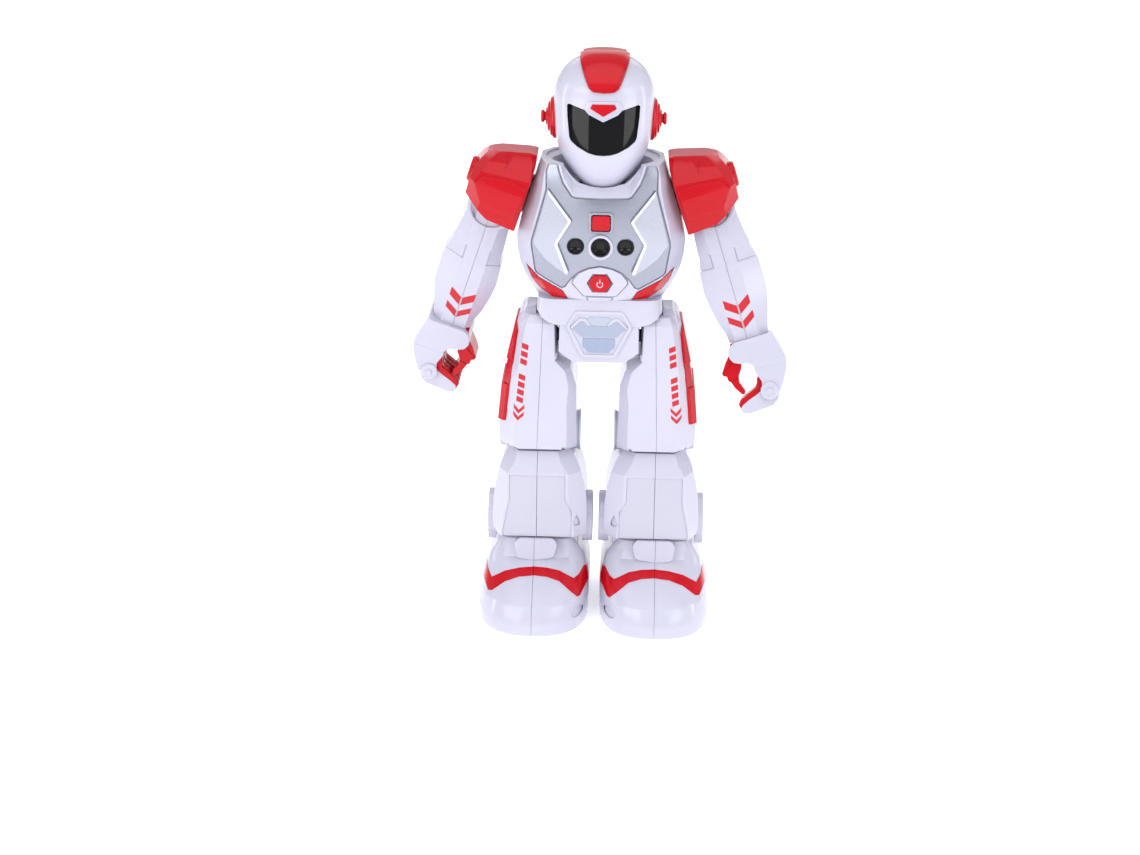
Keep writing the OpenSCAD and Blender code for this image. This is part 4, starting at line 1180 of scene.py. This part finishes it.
THIGH_ROWS = [
    # z, inner side, inner crease, outer crease, outer side, front, back
    (83.2, 9.6, 15.6, 35.8, 43.8, -19.9, 19.0), (84.9, 9.4, 14.0, 37.6, 44.6, -20.3, 19.4),
    (94.2, 9.6, 14.0, 38.2, 45.1, -21.0, 20.0), (104, 9.8, 14.3, 37.8, 44.2, -21.3, 20.0),
    (113, 9.9, 13.4, 37.3, 43.4, -21.5, 20.0), (119.5, 11.9, 14.6, 36.8, 42.3, -21.5, 20.0),
    (121.5, 12.9, 15.4, 36.6, 42.0, -21.4, 20.0), (126, 18.9, 19.9, 36.0, 41.0, -21.0, 19.5),
    (134, 19.0, 20.0, 34.6, 39.2, -20.5, 18.8), (142.9, 19.2, 20.3, 33.0, 37.2, -20.0, 18.0),
    (145.0, 19.4, 20.6, 32.4, 36.2, -18.9, 16.8), (146.4, 19.8, 21.2, 31.6, 35.0, -17.6, 15.2),
]
STRIP = [
    (-15.6, 95.4), (-16.8, 113), (-16.6, 125), (-14.0, 138), (-9.0, 143.2), (4, 144), (10.0, 141),
    (13, 125), (13, 113), (11.5, 95.4),
]
STRIP_WELL = [(-30, 112.2), (-30, 125.4), (30, 122.2), (30, 115.4)]
SHIN_ROWS = [
    # z, inner side, inner crease, outer crease, outer side, front, back
    (40.6, 4.6, 10.0, 43.6, 47.6, -20.6, 17.6), (42.5, 4.2, 9.8, 43.8, 48.0, -21.4, 18.2),
    (48, 4.0, 10.4, 43.2, 48.2, -21.8, 18.6), (58, 4.2, 12.6, 41.2, 47.6, -22.3, 19.0),
    (66, 5.4, 12.9, 41.0, 46.4, -22.6, 19.0), (72, 7.0, 13.0, 40.8, 45.0, -22.5, 18.8),
    (76.6, 9.0, 16.4, 37.6, 43.2, -19.4, 18.0), (81.4, 12.4, 18.0, 36.0, 40.2, -16.9, 15.6),
]
SHIN_PANEL = [
    (14.2, 71.2), (39.9, 71.2), (40.0, 59), (42.9, 44), (42.9, 38), (11.0, 38), (11.0, 53.6),
    (14.0, 59.2),
]
TEARDROP = [
    (8.6, 51.6), (9.5, 50.6), (10.3, 48.9), (10.2, 47.2), (9.2, 46.1), (7.9, 46.1), (7.1, 47.0),
    (7.3, 48.6),
]
BOOT_ROWS = [
    # z, inner side, outer side, toe, heel
    (0, 3.4, 53.0, -43.3, 35.2), (1.0, 2.9, 53.7, -43.9, 35.8), (4, 2.6, 54.0, -44.0, 36.0),
    (7.2, 2.5, 54.2, -43.9, 36.0), (13.4, 2.5, 53.0, -41.0, 35.2), (14.2, 2.5, 52.8, -40.0, 35.0),
    (19.2, 2.8, 51.8, -32.4, 34.0), (25.2, 4.2, 50.2, -21.6, 31.2), (28.6, 5.2, 49.2, -16.6, 29.0),
    (33.2, 8.0, 46.2, -14.6, 23.0), (36.6, 10.5, 43.8, -13.6, 17.0),
    (38.2, 14.0, 40.0, -12.0, 14.0),
]
STRIPE = [
    (50.6, 28.4), (49.9, 25.2), (47.8, 21.5), (41.5, 24.7), (35, 26.3), (28.1, 27), (22, 26.6),
    (16.2, 25.4), (9.4, 22), (7.2, 23.6), (5.0, 27.6), (2.6, 27.6), (1.0, 21.4), (3.8, 18.9),
    (6.2, 14.0), (7.5, 13.4), (10.2, 15.6), (16.1, 20.6), (22, 22.5), (28, 23), (35, 22.2),
    (41.3, 19.9), (47.4, 15.4), (49.3, 15.4), (51.7, 20.4), (55, 22), (53, 28.4),
]
TONGUE = [(34.6, 39.0), (36.0, 38.3), (37.6, 35.6), (36.6, 29.2), (35.2, 28.1), (28.5, 27.4),
          (20.2, 28.7), (18.7, 29.9), (17.4, 35.6), (18.8, 38.3), (20.1, 39.0)]
THIGH_SEAM = ((26.6, 0, 113), (1, 0, 0.032))
LEG_SEAM_X, BOOT_SEAM_X, KNEE_Z, ANKLE_Z = 27.2, 28.3, 87, 44.5
WHEEL_X, AXLE = (13, 43), (0, 14, 4.3)


def leg_form(rows, side, grow=0.0, low=0.0, high=999.0):
    """Closed form of a thigh or shin between two heights, grown by so many millimetres."""
    rings = []
    for z, x0, inner, outer, x1, front, back in clip_rows(rows, low, high):
        rings.append(cut_ring(z, x0 - grow, x1 + grow, front - grow, back + grow,
                              inner - 0.3 * grow, outer + 0.3 * grow, 5.5, 9.5))
    return loft("leg", rings, trunk_place(side))


def hip_cap(side):
    """Arched top of the thigh outside the skirt."""
    arch = []
    for k in range(25):
        c, s = cos(pi * k / 24), sin(pi * k / 24)
        arch.append((14.5 * signed_power(c, 0.7) - 0.8, 140.5 + 8.6 * max(s, 0) ** 0.7))
    crown = [(28.0, 136), (36.6, 136), (36.2, 142.8), (35.0, 146.2), (33.2, 148.4), (31.0, 149.2),
             (28.0, 149.2)]
    cap = side_prism(arch, 28.9, 40, trunk_place(side))
    return carve(cap, prism(crown, AHEAD, BEHIND, trunk_place(side)), "INTERSECT")


def thigh_decals():
    """Generic bars down the front of the thigh, with two chevrons that point down."""
    top, bottom = Vector((33.2, 134.2)), Vector((35.7, 105.6))
    along = (bottom - top).normalized()
    aside = Vector((-along.y, along.x))
    shapes, bars, gap = [], 8, 3
    pitch = (bottom - top).length / bars
    for k in range(bars):
        if k != gap:
            middle = top + along * pitch * (k + 0.5)
            half, wide, lean = along * pitch * 0.34, aside * 1.55, along * 0.5
            shapes.append([middle - half - wide + lean, middle + half - wide + lean,
                           middle + half + wide - lean, middle - half + wide - lean])
    for k in range(2):
        tip = bottom + along * (5.0 + 3.4 * k)
        wing, thick, lift = aside * 2.45, along * 1.9, along * -2.7
        shapes.append([tip, tip + wing + lift, tip + wing + lift - thick, tip - thick,
                       tip - wing + lift - thick, tip - wing + lift])
    return [[tuple(p) for p in shape] for shape in shapes]


def make_thigh(name):
    """Two shells with a disc on each side of the knee, and a red strip and bars."""
    side, place, body = SIDES[name], trunk_place(SIDES[name]), name + "_thigh"

    def form(grow=0.0, *span):
        return leg_form(THIGH_ROWS, side, grow, *span)

    knee = [(9.6, 7.7), (9.6, 8.4), (9.0, 9.0), (9.0, 12)]
    thigh = add(form(), hip_cap(side), spun(knee, place, "x", (0, 0, KNEE_Z), 56),
                spun([(9.0, 40), (9.0, 44.7), (8.4, 45.3)], place, "x", (0, 0, KNEE_Z + 1), 56))
    pocket(thigh, side_prism(STRIP, *OUTSIDE, place), form(-0.9))
    notch = [(14.7, 83), (16.2, 83), (16.2, 84.6), (15.0, 84.6)]
    pocket(thigh, prism(notch, AHEAD, 0, place), form(-1.5))
    hip_room = block((0, -13.6, 143), (28.8, 12.2, 170), place)
    knee_room = block((11.8, -14.5, 60), (41.2, 13.5, 99), place)
    cut(thigh, form(-2.2, 60, 139), hip_room, knee_room,
        rod(3.2, 0, 27, place, "x", (0, 0, HIP_Z), 32))
    shells(thigh, THIGH_SEAM, place, body, body, 0.55, 3, 24)
    outline = [(y * 0.985, z * 0.997 + 0.36) for y, z in STRIP]
    strip = inlay(form(0.9), side_prism(outline, *OUTSIDE, place), form(-0.8))
    pocket(strip, side_prism(STRIP_WELL, *OUTSIDE, place), form(0.25))
    piece(soften(strip, 0.35, 3, 26), body + "_side_strip", body, "red", body + "_strip")
    for number, shape in enumerate(thigh_decals(), 1):
        mark = inlay(form(0.05), prism(shape, AHEAD, 0, place), form(-0.3))
        piece(shade(mark), f"{name}_thigh_mark_{number}", body, "red", paint=DECAL_RED)


def make_shin(name):
    """Two shells with a panel and a teardrop in front, a knee drum and an ankle plate."""
    side, place, body = SIDES[name], trunk_place(SIDES[name]), name + "_shin"

    def form(grow=0.0, *span):
        return leg_form(SHIN_ROWS, side, grow, *span)

    shin = form()
    pocket(shin, prism(SHIN_PANEL, AHEAD, 0, place), form(-0.55))
    pocket(shin, prism(TEARDROP, AHEAD, 0, place), form(-0.8))
    boot_room = block((7.2, -17.0, 20), (44.0, 15.4, 60), place)
    ankle_room = block((7.2, -12.0, 20), (46.4, 12.0, 60), place)
    cut(shin, form(-2.2, 50, 76), boot_room, ankle_room)
    octagon = [(11 * cos(a), ANKLE_Z + 12 * sin(a))
               for a in (pi / 4 * k + pi / 8 for k in range(8))]
    plate = cut(side_prism(octagon, 46.8, 50.4, place),
                block((49.6, -8.6, 34.5), (60, -7.4, 50), place))
    disc = spun([(12.0, 6), (12.0, 1.8), (11.5, 1.4), (7.6, 1.4), (7.2, 1.8), (0.5, 1.8)],
                place, "x", (0, 0, ANKLE_Z), 64)
    add(shin, rod(11.8, 13, 40, place, "x", (0, 0, KNEE_Z), 48),
        block((13, -11.8, 77), (40, 11.8, KNEE_Z), place), plate, disc)
    shells(shin, across(LEG_SEAM_X), place, body, body, 0.55, 3, 24)
    panel = inlay(form(-0.35), prism(grown(SHIN_PANEL, -0.12), AHEAD, 0, place), form(-1.0))
    cut(panel, block((0, -40, 30), (60, 0, 41.2), place))
    # The recessed panel takes a slightly darker white as painted shade of the recess, on a real
    # satin finish.
    for half, label in zip(halves(panel, *across(LEG_SEAM_X), place, 0.12), ("_outer", "_inner")):
        piece(soften(half, 0.15, 2, 26), body + label + "_panel", body, "white", paint=SATIN_SHADED_WHITE)


def boot_ring(row, grow, front_steps=28):
    """Plan of the boot: a round toe ahead of the ankle and a squarer heel."""
    z, x0, x1, toe, heel = row
    start, power = -8.0, 2 / 2.5
    middle, half = (x0 + x1) / 2, (x1 - x0) / 2 + grow
    ring = []
    for k in range(front_steps + 1):
        a = pi * k / front_steps
        ring.append((middle - half * signed_power(cos(a), power),
                     start + (toe - grow - start) * sin(a) ** power, z))
    corner = min(9.0, heel - start - 1)
    for cx, begin in ((1, 0), (-1, 90)):
        for k in range(7):
            a = radians(begin + 15 * k)
            ring.append((middle + cx * (half - corner) + corner * cos(a),
                         heel + grow - corner + corner * sin(a), z))
    return ring


def boot_form(side, grow=0.0, low=-99.0, high=99.0):
    """Closed form of a boot between two heights, grown by so many millimetres."""
    rings = []
    for row in clip_rows(BOOT_ROWS, low, high):
        lift = grow if row[0] > 20 else 0
        rings.append([(x, y, z + lift) for x, y, z in boot_ring(row, grow)])
    return loft("boot", rings, trunk_place(side))


def make_boot(name):
    """Two shells with a tongue, a stripe, an ankle drum and a tread, and the wheels."""
    side, place, body = SIDES[name], trunk_place(SIDES[name]), name + "_foot"
    tongue = prism(TONGUE, -18.2, -10, place, EYE_SLOPE * 0.4, -17)
    boot = add(boot_form(side), soften(tongue, 0.8, 3, 30))
    stripe_tool = prism(STRIPE, -46, 8, place, EYE_SLOPE, -25)
    pocket(boot, copy_of(stripe_tool), boot_form(side, -0.8))
    dimple_x, dimple_z, radius = 7.4, 8.6, 2.6
    turns = [2 * pi * k / 24 for k in range(24)]
    ring = [(dimple_x + radius * cos(a), dimple_z + radius * sin(a)) for a in turns]
    pocket(boot, prism(ring, -46, -10, place), boot_form(side, -0.7))
    cut(boot, boot_form(side, -2.2, 2.2, 34))
    add(boot, block((8.4, -8.8, 30), (45.6, 8.8, 46), place),
        rod(8.8, 8.4, 45.6, place, "x", (0, 0, ANKLE_Z), 48))
    for x in WHEEL_X:
        cut(boot, block((x - 4.5, 8.9, -2), (x + 4.5, 19.1, 10), place))
    for y0, y1 in ((-30, -18), (-14, 2)):
        for x0, x1 in ((8, 26), (31, 48)):
            cut(boot, block((x0, y0, -1), (x1, y1, 0.7), place))
    shells(boot, across(BOOT_SEAM_X), place, name + "_boot", body, 0.5, 3, 26)
    stripe = inlay(boot_form(side, 0.12), stripe_tool, boot_form(side, -0.75))
    for half, label in zip(halves(stripe, *across(BOOT_SEAM_X), place, 0.1), ("_outer", "_inner")):
        nodes = [name + "_boot_stripe"] if label == "_outer" else []
        piece(soften(half, 0.25, 2, 30), name + "_boot" + label + "_stripe", body, "red", *nodes)
    wheels = []
    for x in WHEEL_X:
        tread = [(1.2, x - 3.5), (3.3, x - 3.5), (3.6, x - 3.3)]
        for k in range(3):
            start = x - 2.7 + 1.9 * k
            tread += [(4.0, start - 0.4), (4.0, start + 0.8), (3.7, start + 0.95),
                      (3.7, start + 1.35)]
        tread += [(3.6, x + 3.3), (3.3, x + 3.5), (1.2, x + 3.5)]
        wheels.append(spun(tread, place, "x", AXLE, 32))
    wheels.append(rod(1.2, *WHEEL_X, place, "x", AXLE, 20))
    piece(shade(join(wheels)), name + "_rollers", name + "_wheelset", "wheel_rubber",
          name + "_wheels")


def paint_inner_nodes():
    """Finishes for the CAD pieces that stay as they are."""
    slots = {s["node"]: s["material_slot"] for s in frame["record"]["subparts"]}
    for node in ("main_board", "battery_pack", "speaker", "charge_socket", "leg_gearbox",
                 "neck_post", "body_screws"):
        materials = frame["nodes"][node].data.materials
        if not materials:
            materials.append(None)
        for slot in range(len(materials)):
            materials[slot] = PAINT[slots[node]]


make_camera()
make_studio()
make_head()
make_torso()
make_pelvis()
for limb_side in SIDES:
    make_shoulder(limb_side)
    make_arm(limb_side)
    make_hand(limb_side)
    make_thigh(limb_side)
    make_shin(limb_side)
    make_boot(limb_side)
paint_inner_nodes()
